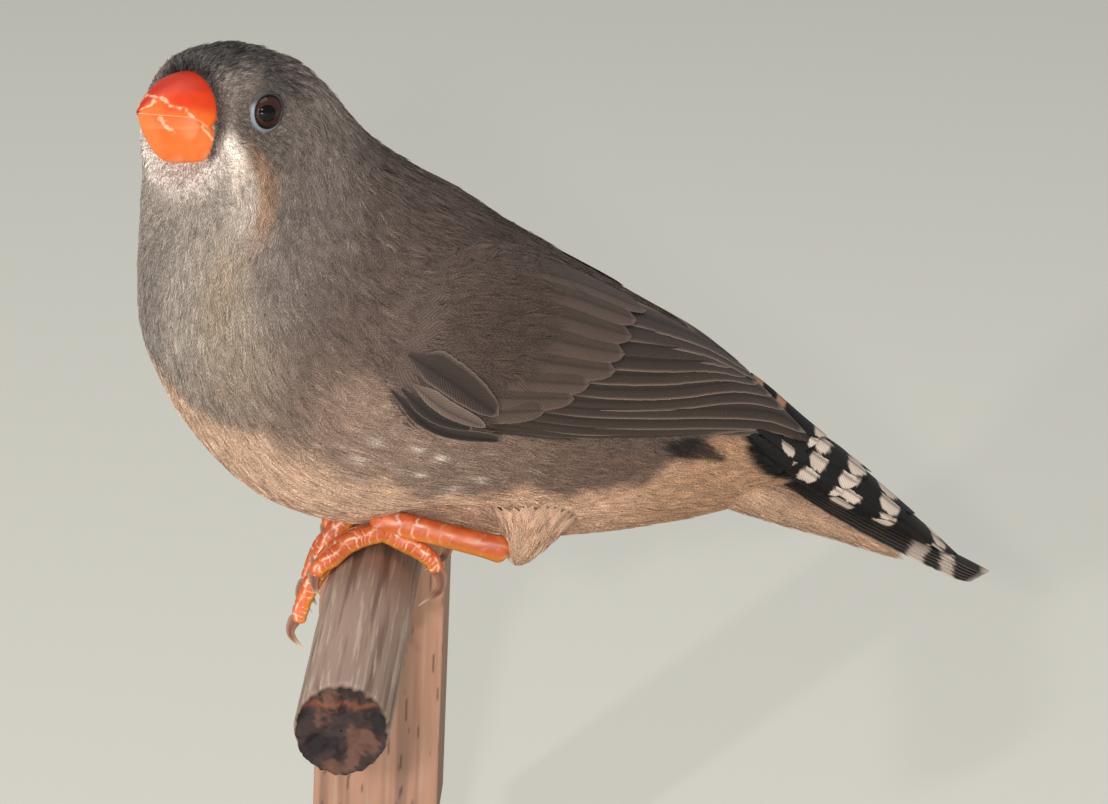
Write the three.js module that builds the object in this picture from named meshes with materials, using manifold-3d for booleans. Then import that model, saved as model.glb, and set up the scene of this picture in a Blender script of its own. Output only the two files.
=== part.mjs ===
// A life-size zebra finch on a round dowel perch, which a short square post and a plain stand hold up.
// Millimetres, +Z up. The origin is the middle of the base's underside.
// The bird's own frame has x towards the tail, y towards its right side and z up, from the top of the dowel.
import * as THREE from "three";
import Module from "manifold-3d";
import { mergeVertices } from "three/addons/utils/BufferGeometryUtils.js";
import { RoundedBoxGeometry } from "three/addons/geometries/RoundedBoxGeometry.js";

const wasm = await Module();
wasm.setup();

// Driving dimensions
const GAP = 0.3; // between pieces that meet
const PERCH_HEIGHT = 61; // top of the dowel above the floor
const PERCH_X = -6; // the dowel's middle, from the base's middle
const DOWEL = { radius: 5.3, front: 58.5, sides: 32 }; // front: from the middle of the grip to the sawn end
const POST = { side: 15.1, front: 22.5, above: 3, below: 43, lean: 2.2 }; // above and below the dowel's top
const BASE = { width: 96, depth: 92, thickness: 7, corner: 2 };
const ROD_RADIUS = 3;
const BIRD = { heading: 14, across: 1.5, rise: 0.3 }; // turned to the viewer's side, and set on the dowel
const HEAD_TURN = 34; // of the head against the trunk
const NECK_AXIS = -15.3; // x of the upright axis that the neck twists about
const BILL = { base: 9.7, tip: 17.6, culmen: 56.7, gape: 51.9, gonys: 47.0, point: 53.2, half: 4.8 };
const EYE = { forward: 4.8, up: 52.6, side: 6.75, radius: 2.2 };
const TAIL = { root: [44.3, 5.0], fall: 29.3, length: 31.9 };
const BODY_SIDES = 26;

const radians = THREE.MathUtils.degToRad;
const lerp = THREE.MathUtils.lerp;
const clamp = THREE.MathUtils.clamp;
const v3 = (x, y, z) => new THREE.Vector3(x, y, z);
const steps = (n, from = 0, to = 1) => Array.from({ length: n + 1 }, (_, i) => lerp(from, to, i / n));
const turns = (n) => steps(n - 1, 0, 360 - 360 / n);
const through = (points) =>
  new THREE.CatmullRomCurve3(points.map(([x, y = 0, z = 0]) => v3(x, y, z)), false, "catmullrom", 0.5);

// Cross-sections of the body from bill to rump, each in the upright plane through its top and bottom point.
// Those points are [x, z], half is half its width, and turn its share of the head's turn.
const SECTIONS = [
  { name: "bill base", top: [-24.8, 57.0], bottom: [-26.2, 46.6], half: 5.1, turn: 1 },
  { name: "forehead", top: [-23.9, 58.4], bottom: [-27.2, 45.0], half: 6.9, turn: 1 },
  { name: "eyes", top: [-21.2, 59.0], bottom: [-27.9, 43.5], half: 8.1, turn: 1 },
  { name: "crown", top: [-16.9, 58.8], bottom: [-28.0, 42.0], half: 9.0, turn: 0.98 },
  { name: "hind crown", top: [-13.1, 57.5], bottom: [-28.0, 40.3], half: 9.9, turn: 0.92 },
  { name: "nape", top: [-9.6, 55.9], bottom: [-28.2, 38.2], half: 11.1, turn: 0.8 },
  { name: "throat", top: [-6.7, 53.3], bottom: [-28.3, 34.8], half: 12.4, turn: 0.6 },
  { name: "neck", top: [-4.5, 50.7], bottom: [-28.4, 30.6], half: 14.2, turn: 0.4 },
  { name: "breast", top: [-2.0, 47.7], bottom: [-27.8, 23.4], half: 16.8, turn: 0.2 },
  { name: "shoulders", top: [0.7, 45.5], bottom: [-23.2, 13.9], half: 19.2, turn: 0.06 },
  { name: "mantle", top: [4.1, 43.2], bottom: [-15.7, 6.0], half: 20.4, turn: 0 },
  { name: "belly", top: [9.2, 40.2], bottom: [-5.6, 1.8], half: 20.4, turn: 0 },
  { name: "flank", top: [15.2, 35.9], bottom: [5.1, 0.1], half: 19.2, turn: 0 },
  { name: "thighs", top: [22.6, 30.6], bottom: [15.2, -1.3], half: 16.8, turn: 0 },
  { name: "vent", top: [30.1, 25.7], bottom: [24.1, -1.2], half: 13.6, turn: 0 },
  { name: "rump", top: [37.2, 20.8], bottom: [31.9, -0.7], half: 10.2, turn: 0 },
  { name: "tail root", top: [43.6, 15.0], bottom: [39.0, 0.2], half: 6.8, turn: 0 },
  { name: "tail bone", top: [50.2, 8.6], bottom: [47.0, 2.6], half: 3.4, turn: 0 },
];
const LAST = SECTIONS.length - 1;
const place = Object.fromEntries(SECTIONS.map((section, i) => [section.name, i]));

const topLine = through(SECTIONS.map((s) => [s.top[0], 0, s.top[1]]));
const bottomLine = through(SECTIONS.map((s) => [s.bottom[0], 0, s.bottom[1]]));
const widthLine = through(SECTIONS.map((s) => [s.half, s.turn]));

// The plumage lifts over each leg, which lies in the hollow.
const HOLLOW = { x: 7.5, side: 8.5, long: 9, wide: 4.5, deep: 4.2 };
const bump = (x) => Math.exp(-x * x);
const hollow = (x, y, down) =>
  HOLLOW.deep * bump((x - HOLLOW.x) / HOLLOW.long) * bump((Math.abs(y) - HOLLOW.side) / HOLLOW.wide) * down;

// Turns a point of the head or neck about the neck's upright axis.
function twist(p, share) {
  const a = radians(HEAD_TURN * share);
  const x = p.x - NECK_AXIS;
  return v3(NECK_AXIS + x * Math.cos(a) - p.y * Math.sin(a), x * Math.sin(a) + p.y * Math.cos(a), p.z);
}

// A point on the head, forward of the neck's axis and to its left
const headPoint = (forward, left, up) => twist(v3(NECK_AXIS - forward, -left, up), 1);

// A point of the body's surface. u counts sections, and angle runs from 0 on the back by 90 on the left side.
function bodyPoint(u, angle, outset = 0) {
  const t = clamp(u / LAST, 0, 1);
  const top = topLine.getPoint(t);
  const bottom = bottomLine.getPoint(t);
  const { x: half, y: share } = widthLine.getPoint(t);
  const up = top.clone().sub(bottom);
  const tall = up.length() / 2;
  up.normalize();
  const a = radians(angle);
  const p = top.add(bottom).multiplyScalar(0.5).addScaledVector(up, Math.cos(a) * (tall + outset));
  p.y = -Math.sin(a) * (half + outset);
  p.z += hollow(p.x, p.y, clamp(-Math.cos(a) * 2, 0, 1));
  return twist(p, share);
}

// A closed surface over rings of equal length, whose ends are closed by strips
function closedOver(rings) {
  const n = rings[0].length;
  const faces = [];
  for (let i = 0; i < rings.length - 1; i++)
    for (let k = 0; k < n; k++) {
      const a = i * n + k;
      const b = i * n + ((k + 1) % n);
      faces.push(a, b, a + n, b, b + n, a + n);
    }
  const close = (start, flip) => {
    for (let j = 0; j < n / 2 - 1; j++) {
      const [a, b, c, d] = [j, j + 1, n - 2 - j, n - 1 - j].map((k) => start + k);
      const corners = b === c ? [a, b, d] : [a, b, c, a, c, d];
      faces.push(...(flip ? corners.reverse() : corners));
    }
  };
  close(0, true);
  close((rings.length - 1) * n, false);
  const geometry = new THREE.BufferGeometry().setFromPoints(rings.flat());
  geometry.setIndex(faces);
  return signedVolume(geometry) < 0 ? turnedOver(geometry) : geometry;
}

function signedVolume(geometry) {
  const at = (i) => v3().fromBufferAttribute(geometry.attributes.position, i);
  const f = geometry.index.array;
  let sum = 0;
  for (let i = 0; i < f.length; i += 3) sum += at(f[i]).dot(at(f[i + 1]).cross(at(f[i + 2])));
  return sum / 6;
}

function turnedOver(geometry) {
  geometry.setIndex(Array.from(geometry.index.array).reverse());
  return geometry;
}

// Solids for joining and cutting, and back
function solid(geometry) {
  const bare = geometry.clone();
  bare.deleteAttribute("normal");
  bare.deleteAttribute("uv");
  const merged = mergeVertices(bare, 1e-4);
  const triVerts = new Uint32Array(merged.index.array);
  const vertProperties = merged.attributes.position.array;
  return new wasm.Manifold(new wasm.Mesh({ numProp: 3, vertProperties, triVerts }));
}

function shape(body) {
  const { numProp, vertProperties, triVerts } = body.getMesh();
  const count = vertProperties.length / numProp;
  const points = new Float32Array(count * 3);
  for (let i = 0; i < count; i++) points.set(vertProperties.subarray(i * numProp, i * numProp + 3), i * 3);
  return new THREE.BufferGeometry()
    .setAttribute("position", new THREE.BufferAttribute(points, 3))
    .setIndex(new THREE.BufferAttribute(triVerts, 1));
}

const joined = (...geometries) => shape(geometries.map(solid).reduce((a, b) => a.add(b)));

// What is left of a piece outside its neighbours, without loose crumbs
function outside(geometry, ...cutters) {
  const rest = cutters.reduce((left, cutter) => left.subtract(solid(cutter)), solid(geometry));
  return shape(rest.decompose().reduce((a, b) => (a.volume() > b.volume() ? a : b)));
}

// A tube along a path, round or flattened sideways, with its radius given for each share of its length
function tube(path, radiusAt, sides, count, flat = 1) {
  const rings = steps(count).map((t) => {
    const along = path.getTangentAt(t);
    const side = v3(0, 1, 0).addScaledVector(along, -along.y).normalize();
    const over = along.clone().cross(side);
    return turns(sides).map((a) =>
      path
        .getPointAt(t)
        .addScaledVector(side, Math.cos(radians(a)) * radiusAt(t) * flat)
        .addScaledVector(over, Math.sin(radians(a)) * radiusAt(t)),
    );
  });
  return closedOver(rings);
}

// Head, neck and trunk are one form, parted by thin cuts.
const bodyLength = (from, to, rings, outset = 0) =>
  closedOver(steps(rings, from, to).map((u) => turns(BODY_SIDES).map((a) => bodyPoint(u, a, outset))));

const NAPE_CUT = place["nape"];
const BREAST_CUT = place["breast"];
const TRUNK_END = LAST - 0.2;
const HALF_CUT = 0.06; // in sections

// Eyes
const eyeBall = (side, grow = 0) => {
  const at = headPoint(EYE.forward, side * EYE.side, EYE.up);
  return new THREE.SphereGeometry(EYE.radius + grow, 12, 8).translate(at.x, at.y, at.z);
};

// One half of the bill, whose rings run from its base to the tip
function billHalf(isUpper) {
  const sign = isUpper ? 1 : -1;
  const ends = isUpper ? [BILL.culmen, BILL.point + 0.35] : [BILL.gonys, BILL.point - 0.45];
  const bend = isUpper ? 1.7 : 1.2;
  const fullness = isUpper ? 0.85 : 0.5;
  const rings = steps(8).map((t) => {
    const edge = lerp(BILL.gape, BILL.point, t ** 0.75) + sign * (GAP / 2);
    const height = Math.abs(lerp(ends[0], ends[1], t ** bend) - edge);
    const half = BILL.half * (isUpper ? 1 : 0.86) * (1 - t ** 1.25) ** 0.9 + 0.12;
    return steps(11, 0, 180).map((a) => {
      const up = edge + sign * Math.sin(radians(a)) ** fullness * height;
      const base = BILL.base + (BILL.culmen - up) * 0.12;
      return headPoint(lerp(base, BILL.tip, t), Math.cos(radians(a)) * half, up);
    });
  });
  return closedOver(rings);
}

// A folded wing lies on the body between two angles, from the wrist to its tip.
const WING = [
  { u: 9.85, upper: 70, lower: 84, lift: 0.4 },
  { u: 10.3, upper: 52, lower: 92, lift: 1.0 },
  { u: 10.9, upper: 38, lower: 98, lift: 1.3 },
  { u: 11.6, upper: 27, lower: 99, lift: 1.4 },
  { u: 12.4, upper: 18, lower: 96, lift: 1.4 },
  { u: 13.3, upper: 12, lower: 90, lift: 1.4 },
  { u: 14.3, upper: 8, lower: 85, lift: 1.5 },
  { u: 15.3, upper: 7, lower: 77, lift: 1.9 },
  { u: 16.2, upper: 9, lower: 64, lift: 2.0 },
  { u: 17.0, upper: 22, lower: 44, lift: 1.2 },
];
const WING_SINK = 0.8; // depth to which it beds into the plumage
const WING_RIM = 0.35; // thickness of its edge on each side of the body's surface
const FOLD = 0.42; // where the primaries end and the secondaries begin, across the wing
const COVERT_END = 0.47; // where the coverts end, along the wing
const wingEdges = through(WING.map((w) => [w.u, w.upper, w.lower]));
const wingLift = through(WING.map((w) => [w.lift]));

function wingPoint(side, s, q, isTop, grow) {
  const { x: u, y: upper, z: lower } = wingEdges.getPoint(clamp(s, 0, 1));
  const crown = Math.sqrt(Math.sin(Math.PI * clamp(q, 0, 1)));
  const over = lerp(WING_RIM, wingLift.getPoint(clamp(s, 0, 1)).x, crown) + grow * 10;
  const under = -lerp(WING_RIM, WING_SINK, crown) - grow;
  return bodyPoint(u + (s - clamp(s, 0, 1)) * 8, side * lerp(lower, upper, q), isTop ? over : under);
}

// Part of a wing, s from wrist to tip and q from its lower to its upper edge. side is 1 left and -1 right.
function wingPart(side, [s0, s1], [q0, q1], grow = 0, rows = 12, columns = 7) {
  const rings = steps(rows, s0, s1).map((s) => {
    const across = steps(columns, q0(s), q1(s));
    return [
      ...across.map((q) => wingPoint(side, s, q, true, grow)),
      ...across.reverse().map((q) => wingPoint(side, s, q, false, grow)),
    ];
  });
  return closedOver(rings);
}

const edge = (q) => () => q;
const foldGap = (s) => lerp(0.006, 0.03, s);
const wingWhole = (side) => wingPart(side, [-0.01, 1.01], [edge(-0.03), edge(1.03)], GAP, 15, 5);

// The tail's own frame has s along it from its root, p to the left and q up from its feathers.
function tailPoint(s, p, q) {
  const a = radians(TAIL.fall);
  const [x, z] = TAIL.root;
  return v3(x + s * Math.cos(a) + q * Math.sin(a), -p, z - s * Math.sin(a) + q * Math.cos(a));
}

// A form along the tail, from rounded sections between a low and a high line
function tailForm(rows, sides, grow = 0) {
  const line = through(rows.map((r) => [r.s, r.low - grow, r.high + grow]));
  const width = through(rows.map((r) => [r.half + grow]));
  const rings = steps(rows.length + 3).map((t) => {
    const { x: s, y: low, z: high } = line.getPoint(t);
    const half = width.getPoint(t).x;
    return turns(sides).map((a) =>
      tailPoint(s, Math.sin(radians(a)) * half, (low + high) / 2 + (Math.cos(radians(a)) * (high - low)) / 2),
    );
  });
  return closedOver(rings);
}

const TAIL_FEATHERS = [
  { s: -1, low: -0.7, high: 0.7, half: 3.2 },
  { s: 8, low: -0.7, high: 0.7, half: 4.2 },
  { s: 18, low: -0.7, high: 0.6, half: 4.5 },
  { s: 27.5, low: -0.5, high: 0.5, half: 4.1 },
  { s: TAIL.length, low: -0.4, high: 0.3, half: 2.5 },
];
const UPPER_COVERTS = [
  { s: -5.5, low: 5.2, high: 9.6, half: 3.6 },
  { s: -2, low: 1.1, high: 8.7, half: 5.2 },
  { s: 3, low: 1.1, high: 7.6, half: 5.4 },
  { s: 9, low: 1.1, high: 6.6, half: 5.1 },
  { s: 16, low: 1.0, high: 5.1, half: 4.7 },
  { s: 23, low: 0.9, high: 3.5, half: 4.1 },
  { s: 28.5, low: 0.8, high: 2.2, half: 2.6 },
];
const UNDER_COVERTS = [
  { s: -8, low: -6.4, high: -3.0, half: 4.2 },
  { s: -2, low: -6.1, high: -1.1, half: 5.2 },
  { s: 5, low: -5.0, high: -1.1, half: 4.7 },
  { s: 12, low: -3.7, high: -1.05, half: 3.9 },
  { s: 18, low: -2.8, high: -1.05, half: 2.8 },
  { s: 21.5, low: -2.2, high: -1.3, half: 1.2 },
];

// Legs, in the perch's frame: x across the dowel, y along it, z up from its top.
// Each toe starts under the tarsus, and its last points are its claw's.
const FEET = {
  left: { y: -7.2, out: -1, heel: [14.6, -8.0] },
  right: { y: 4.8, out: 1, heel: [10.8, 12.0] },
};
const TOES = {
  outer: {
    to: [[-1.8, 1.5, 1.2], [-4.2, -0.2, 2.3], [-5.8, -1.1, 2.8]],
    claw: [[-6.2, -2.2], [-6.2, -3.6], [-5.6, -4.9]],
  },
  middle: {
    to: [[-2.9, 0.9, 0.2], [-5.9, -2.6, 0.3], [-7.3, -4.9, 0.3], [-8.2, -7.2, 0.3]],
    claw: [[-8.8, -8.5], [-9.2, -10.0], [-7.8, -11.9]],
  },
  inner: {
    to: [[-2.4, 1.1, -1.3], [-5.1, -1.4, -2.2], [-6.5, -3.6, -2.5]],
    claw: [[-7.0, -4.8], [-7.0, -6.2], [-6.4, -7.4]],
  },
  hind: {
    to: [[3.2, 1.5, 0.1], [5.4, 0.3, 0.2], [7.1, -0.8, 0.2]],
    claw: [[8.2, -2.0], [8.2, -3.8], [6.0, -6.2]],
  },
};
const ANKLE = [1.6, 2.4];
const TOE_RADIUS = 0.95;
const TARSUS_RADIUS = 1.45;

function toe(foot, { to }, grow = 0) {
  const joints = to.map(([x, z, out]) => [x, foot.y + foot.out * out, z]);
  const path = through([[ANKLE[0], foot.y, ANKLE[1]], ...joints]);
  const knobbly = (t) => TOE_RADIUS * (1.12 - 0.2 * t + 0.07 * Math.cos(t * Math.PI * 6)) + grow;
  return tube(path, knobbly, 7, 8);
}

const toes = (foot, grow = 0) => joined(...Object.values(TOES).map((t) => toe(foot, t, grow)));

function claw(foot, { to, claw: points }) {
  const y = foot.y + foot.out * to.at(-1)[2];
  return tube(through(points.map(([x, z]) => [x, y, z])), (t) => lerp(0.62, 0.12, t), 5, 4, 0.7);
}

function tarsus(foot, grow = 0) {
  const [x, y] = foot.heel;
  const ankle = [ANKLE[0], foot.y, ANKLE[1] + 0.9];
  const path = through([ankle, [3.6, lerp(foot.y, y, 0.15), 3.2], [x, y, 0.8], [x + 2.2, y, 0.3]]);
  return tube(path, (t) => TARSUS_RADIUS * (1 - 0.12 * Math.sin(Math.PI * t)) + grow, 8, 7, 0.78);
}

function thigh(foot) {
  const [x, y] = foot.heel;
  const path = through([[x + 1.0, y, -0.6], [x + 2.0, y * 0.95, 1.5], [x + 2.2, y * 0.7, 7]]);
  return tube(path, (t) => lerp(1.2, 3.2, Math.sqrt(t)), 12, 5);
}

// From the perch's frame to the bird's
function intoBird(geometry) {
  return geometry.clone().translate(-BIRD.across, 0, -BIRD.rise).rotateZ(-radians(BIRD.heading));
}

const FINISH = {
  plumage: { color: 0x7b736b, roughness: 0.85 },
  flight: { color: 0x6a5c50, roughness: 0.75 },
  buff: { color: 0xd2ab86, roughness: 0.9 },
  barred: { color: 0x231f1c, roughness: 0.7 },
  bill: { color: 0xf2571c, roughness: 0.35 },
  eye: { color: 0x2a1410, roughness: 0.08 },
  leg: { color: 0xe2601c, roughness: 0.5 },
  claw: { color: 0x9d7468, roughness: 0.4 },
  dowel: { color: 0x8f7c6e, roughness: 0.8 },
  post: { color: 0xa9805f, roughness: 0.75 },
  rod: { color: 0xb9bbbd, roughness: 0.3, metalness: 1 },
  base: { color: 0x3a2a20, roughness: 0.4 },
};

function piece(name, geometry, look) {
  const mesh = new THREE.Mesh(geometry, new THREE.MeshStandardMaterial(FINISH[look]));
  mesh.name = name;
  return mesh;
}

// The bird
const bird = new THREE.Group();
bird.position.set(PERCH_X + BIRD.across, 0, PERCH_HEIGHT + BIRD.rise);
bird.rotation.z = radians(BIRD.heading);

const legs = Object.entries(FEET).map(([name, foot]) => ({ name, foot }));
const legSpace = legs.map(({ foot }) => intoBird(joined(tarsus(foot, GAP), toes(foot, GAP))));
const wingSpace = [1, -1].map((side) => wingWhole(side));
const trunkSpace = bodyLength(BREAST_CUT, TRUNK_END + HALF_CUT, 20, GAP + 0.05);
const tailSpace = tailForm(TAIL_FEATHERS, 12, GAP);

const face = bodyLength(0, NAPE_CUT - HALF_CUT, 11);
bird.add(piece("head", outside(face, eyeBall(1, GAP), eyeBall(-1, GAP)), "plumage"));
bird.add(piece("neck", bodyLength(NAPE_CUT + HALF_CUT, BREAST_CUT - HALF_CUT, 6), "plumage"));
const trunk = bodyLength(BREAST_CUT + HALF_CUT, TRUNK_END, 20);
bird.add(piece("trunk", outside(trunk, ...wingSpace, ...legSpace, tailSpace), "plumage"));
bird.add(piece("bill_upper", billHalf(true), "bill"));
bird.add(piece("bill_lower", billHalf(false), "bill"));

const behind = [COVERT_END + 0.006, 1];
const aboveFold = [(s) => FOLD + foldGap(s), edge(1)];
const belowFold = [edge(0), (s) => FOLD - foldGap(s)];
for (const [name, side] of [["left", 1], ["right", -1]]) {
  const coverts = wingPart(side, [0, COVERT_END], [edge(0), edge(1)], 0, 9, 7);
  bird.add(piece(`eye_${name}`, eyeBall(side), "eye"));
  bird.add(piece(`wing_${name}_coverts`, coverts, "flight"));
  bird.add(piece(`wing_${name}_secondaries`, wingPart(side, behind, aboveFold, 0, 10, 4), "flight"));
  bird.add(piece(`wing_${name}_primaries`, wingPart(side, behind, belowFold, 0, 10, 4), "flight"));
}

bird.add(piece("tail", outside(tailForm(TAIL_FEATHERS, 12), trunkSpace), "barred"));
const upperCoverts = outside(tailForm(UPPER_COVERTS, 12), trunkSpace, ...wingSpace);
bird.add(piece("tail_coverts_upper", upperCoverts, "barred"));
const underCoverts = outside(tailForm(UNDER_COVERTS, 12), trunkSpace, ...wingSpace);
bird.add(piece("tail_coverts_under", underCoverts, "buff"));

for (const { name, foot } of legs) {
  const tuft = outside(intoBird(thigh(foot)), trunkSpace, intoBird(tarsus(foot, GAP)));
  const shank = outside(tarsus(foot), toes(foot, GAP));
  bird.add(piece(`thigh_${name}`, tuft, "buff"));
  bird.add(piece(`tarsus_${name}`, intoBird(shank), "leg"));
  bird.add(piece(`foot_${name}`, intoBird(toes(foot)), "leg"));
  for (const [which, t] of Object.entries(TOES)) {
    bird.add(piece(`claw_${name}_${which}`, intoBird(claw(foot, t)), "claw"));
  }
}

// The perch: a dowel along y, sawn at its front end, on the face of a square post
const perch = new THREE.Group();
perch.position.set(PERCH_X, 0, PERCH_HEIGHT);

const dowelLength = DOWEL.front + POST.front - GAP;
const round = new THREE.CylinderGeometry(DOWEL.radius, DOWEL.radius, dowelLength, DOWEL.sides);
const dowel = piece("perch_dowel", round, "dowel");
dowel.position.set(0, POST.front - GAP - dowelLength / 2, -DOWEL.radius);
perch.add(dowel);

const postHeight = POST.above + POST.below;
const postMiddle = POST.front + POST.side / 2;
const leanAt = (below) => -Math.sin(radians(POST.lean)) * below;
const post = piece("perch_post", new THREE.BoxGeometry(POST.side, POST.side, postHeight), "post");
post.rotation.y = radians(POST.lean);
post.position.set(leanAt(postHeight / 2 - POST.above), postMiddle, POST.above - postHeight / 2);
perch.add(post);

// The stand: a base with one rod up to the post
const rodHeight = PERCH_HEIGHT - POST.below - BASE.thickness - 3 * GAP;
const rod = piece("stand_rod", new THREE.CylinderGeometry(ROD_RADIUS, ROD_RADIUS, rodHeight, 20), "rod");
rod.rotation.x = Math.PI / 2;
rod.position.set(PERCH_X + leanAt(POST.below), postMiddle, BASE.thickness + GAP + rodHeight / 2);

const slab = new RoundedBoxGeometry(BASE.width, BASE.depth, BASE.thickness, 1, BASE.corner);
const base = piece("stand_base", slab, "base");
base.position.z = BASE.thickness / 2;

const group = new THREE.Group();
group.add(bird, perch, rod, base);

export default group;
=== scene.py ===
import math

import bpy
import numpy as np
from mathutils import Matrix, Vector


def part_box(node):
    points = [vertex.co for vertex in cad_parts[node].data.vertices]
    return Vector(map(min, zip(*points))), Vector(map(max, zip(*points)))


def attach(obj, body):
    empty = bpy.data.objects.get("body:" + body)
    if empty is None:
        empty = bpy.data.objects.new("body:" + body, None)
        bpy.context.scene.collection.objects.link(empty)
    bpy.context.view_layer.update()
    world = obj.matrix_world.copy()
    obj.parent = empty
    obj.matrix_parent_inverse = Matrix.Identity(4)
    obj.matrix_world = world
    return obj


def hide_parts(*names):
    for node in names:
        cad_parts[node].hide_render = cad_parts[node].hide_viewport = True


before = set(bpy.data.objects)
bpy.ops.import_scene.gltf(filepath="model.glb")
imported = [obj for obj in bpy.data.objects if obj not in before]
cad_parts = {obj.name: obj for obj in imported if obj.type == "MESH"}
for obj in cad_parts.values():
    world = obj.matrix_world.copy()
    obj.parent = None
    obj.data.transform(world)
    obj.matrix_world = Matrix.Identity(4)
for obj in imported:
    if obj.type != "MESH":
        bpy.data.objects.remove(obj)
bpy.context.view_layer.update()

# Driving dimensions, the same as the solids'
PERCH_HEIGHT = 61.0
PERCH_X = -6.0
DOWEL_RADIUS = 5.3
DOWEL_FRONT = 58.5
POST_SIDE = 15.1
POST_FRONT = 22.5
POST_ABOVE = 3.0
POST_BELOW = 43.0
POST_LEAN = 2.2
GAP = 0.3
BIRD_HEADING = 14.0
BIRD_ACROSS = 1.5
BIRD_RISE = 0.3
HEAD_TURN = 34.0
NECK_AXIS = -15.3
BILL = {"base": 9.7, "tip": 17.6, "culmen": 56.7, "gape": 51.9, "gonys": 47.0, "point": 53.2, "half": 4.8}
EYE = {"forward": 4.8, "up": 52.6, "side": 6.75, "radius": 2.2}
TAIL_ROOT = (44.3, 5.0)
TAIL_FALL = 29.3
TAIL_LENGTH = 31.9

# Cross-sections of the body from bill to rump: the top point's x and z, the bottom point's x and z,
# half the width, and the share of the head's turn
SECTIONS = np.array([
    (-24.8, 57.0, -26.2, 46.6, 5.1, 1.0),
    (-23.9, 58.4, -27.2, 45.0, 6.9, 1.0),
    (-21.2, 59.0, -27.9, 43.5, 8.1, 1.0),
    (-16.9, 58.8, -28.0, 42.0, 9.0, 0.98),
    (-13.1, 57.5, -28.0, 40.3, 9.9, 0.92),
    (-9.6, 55.9, -28.2, 38.2, 11.1, 0.8),
    (-6.7, 53.3, -28.3, 34.8, 12.4, 0.6),
    (-4.5, 50.7, -28.4, 30.6, 14.2, 0.4),
    (-2.0, 47.7, -27.8, 23.4, 16.8, 0.2),
    (0.7, 45.5, -23.2, 13.9, 19.2, 0.06),
    (4.1, 43.2, -15.7, 6.0, 20.4, 0.0),
    (9.2, 40.2, -5.6, 1.8, 20.4, 0.0),
    (15.2, 35.9, 5.1, 0.1, 19.2, 0.0),
    (22.6, 30.6, 15.2, -1.3, 16.8, 0.0),
    (30.1, 25.7, 24.1, -1.2, 13.6, 0.0),
    (37.2, 20.8, 31.9, -0.7, 10.2, 0.0),
    (43.6, 15.0, 39.0, 0.2, 6.8, 0.0),
    (50.2, 8.6, 47.0, 2.6, 3.4, 0.0),
])
LAST = len(SECTIONS) - 1
TRUNK_END = LAST - 0.2
INSIDE_BILL = np.array([(-25.7, 55.2, -26.5, 48.4, 3.6, 1.0)])
RINGS = np.vstack([INSIDE_BILL, SECTIONS])
HOLLOW = {"x": 7.5, "side": 8.5, "long": 9.0, "wide": 4.5, "deep": 4.2}

# A folded wing: the section it reaches, its upper and lower angle on the body, and how far it stands out
WING = np.array([
    (9.85, 70, 84, 0.4),
    (10.3, 52, 92, 1.0),
    (10.9, 38, 98, 1.3),
    (11.6, 27, 99, 1.4),
    (12.4, 18, 96, 1.4),
    (13.3, 12, 90, 1.4),
    (14.3, 8, 85, 1.5),
    (15.3, 7, 77, 1.9),
    (16.2, 9, 64, 2.0),
    (17.0, 22, 44, 1.2),
])
WING_RIM = 0.55

# Bundles of feathers along the tail: place along it, lowest and highest line, and half the width
# of the upper and of the lower part
UPPER_COVERTS = np.array([
    (-6.5, 1.6, 9.6, 1.6, 6.8),
    (-4, 1.2, 9.2, 1.8, 7.0),
    (-1, 0.8, 8.5, 2.4, 6.6),
    (2, 0.5, 7.8, 3.0, 5.9),
    (5, 0.1, 7.2, 3.6, 5.4),
    (9, -0.4, 6.6, 4.4, 5.1),
    (16, -0.5, 5.1, 4.4, 4.8),
    (23, -0.4, 3.5, 3.8, 3.9),
    (28.5, -0.3, 2.0, 2.4, 2.4),
])
UNDER_COVERTS = np.array([
    (-8, -6.4, -1.4, 4.2, 4.2),
    (-2, -6.1, 0.6, 5.4, 5.2),
    (5, -5.0, 0.7, 4.9, 4.7),
    (12, -3.7, 0.5, 4.3, 3.9),
    (18, -2.8, 0.1, 3.4, 2.8),
    (21.5, -2.2, -0.7, 1.6, 1.2),
])

# Legs, in the perch's frame: x across the dowel, y along it and z up from its top
FEET = {
    "left": {"y": -7.2, "out": -1, "heel": (14.6, -8.0)},
    "right": {"y": 6.8, "out": 1, "heel": (10.8, 12.0)},
}
TOES = {
    "outer": {
        "to": [(-1.8, 1.5, 1.2), (-4.2, -0.2, 2.3), (-5.7, -1.2, 2.8), (-6.0, -2.3, 2.8)],
        "claw": [(-6.2, -2.2), (-6.2, -3.6), (-5.6, -4.9)],
        "scutes": 8,
    },
    "middle": {
        "to": [(-2.9, 0.9, 0.2), (-5.9, -2.6, 0.3), (-7.3, -4.9, 0.3), (-8.1, -7.2, 0.3), (-8.3, -8.7, 0.3)],
        "claw": [(-8.8, -8.5), (-9.2, -10.0), (-7.8, -11.9)],
        "scutes": 13,
    },
    "inner": {
        "to": [(-2.4, 1.1, -1.3), (-5.1, -1.4, -2.2), (-6.5, -3.6, -2.5), (-6.8, -4.9, -2.5)],
        "claw": [(-7.0, -4.8), (-7.0, -6.2), (-6.4, -7.4)],
        "scutes": 9,
    },
    "hind": {
        "to": [(3.2, 1.5, 0.1), (5.4, 0.3, 0.2), (7.1, -0.9, 0.2), (7.7, -2.5, 0.2)],
        "claw": [(8.1, -3.0), (7.9, -4.6), (5.5, -6.5)],
        "scutes": 8,
    },
}
ANKLE = (1.6, 2.4)
TOE_RADIUS = 0.95
TARSUS_RADIUS = 1.55

EYE_TOE = 10.0
SEED = 20


# Small helpers

def smooth(x, low, high):
    t = np.clip((np.asarray(x, float) - low) / (high - low), 0, 1)
    return t * t * (3 - 2 * t)


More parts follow.
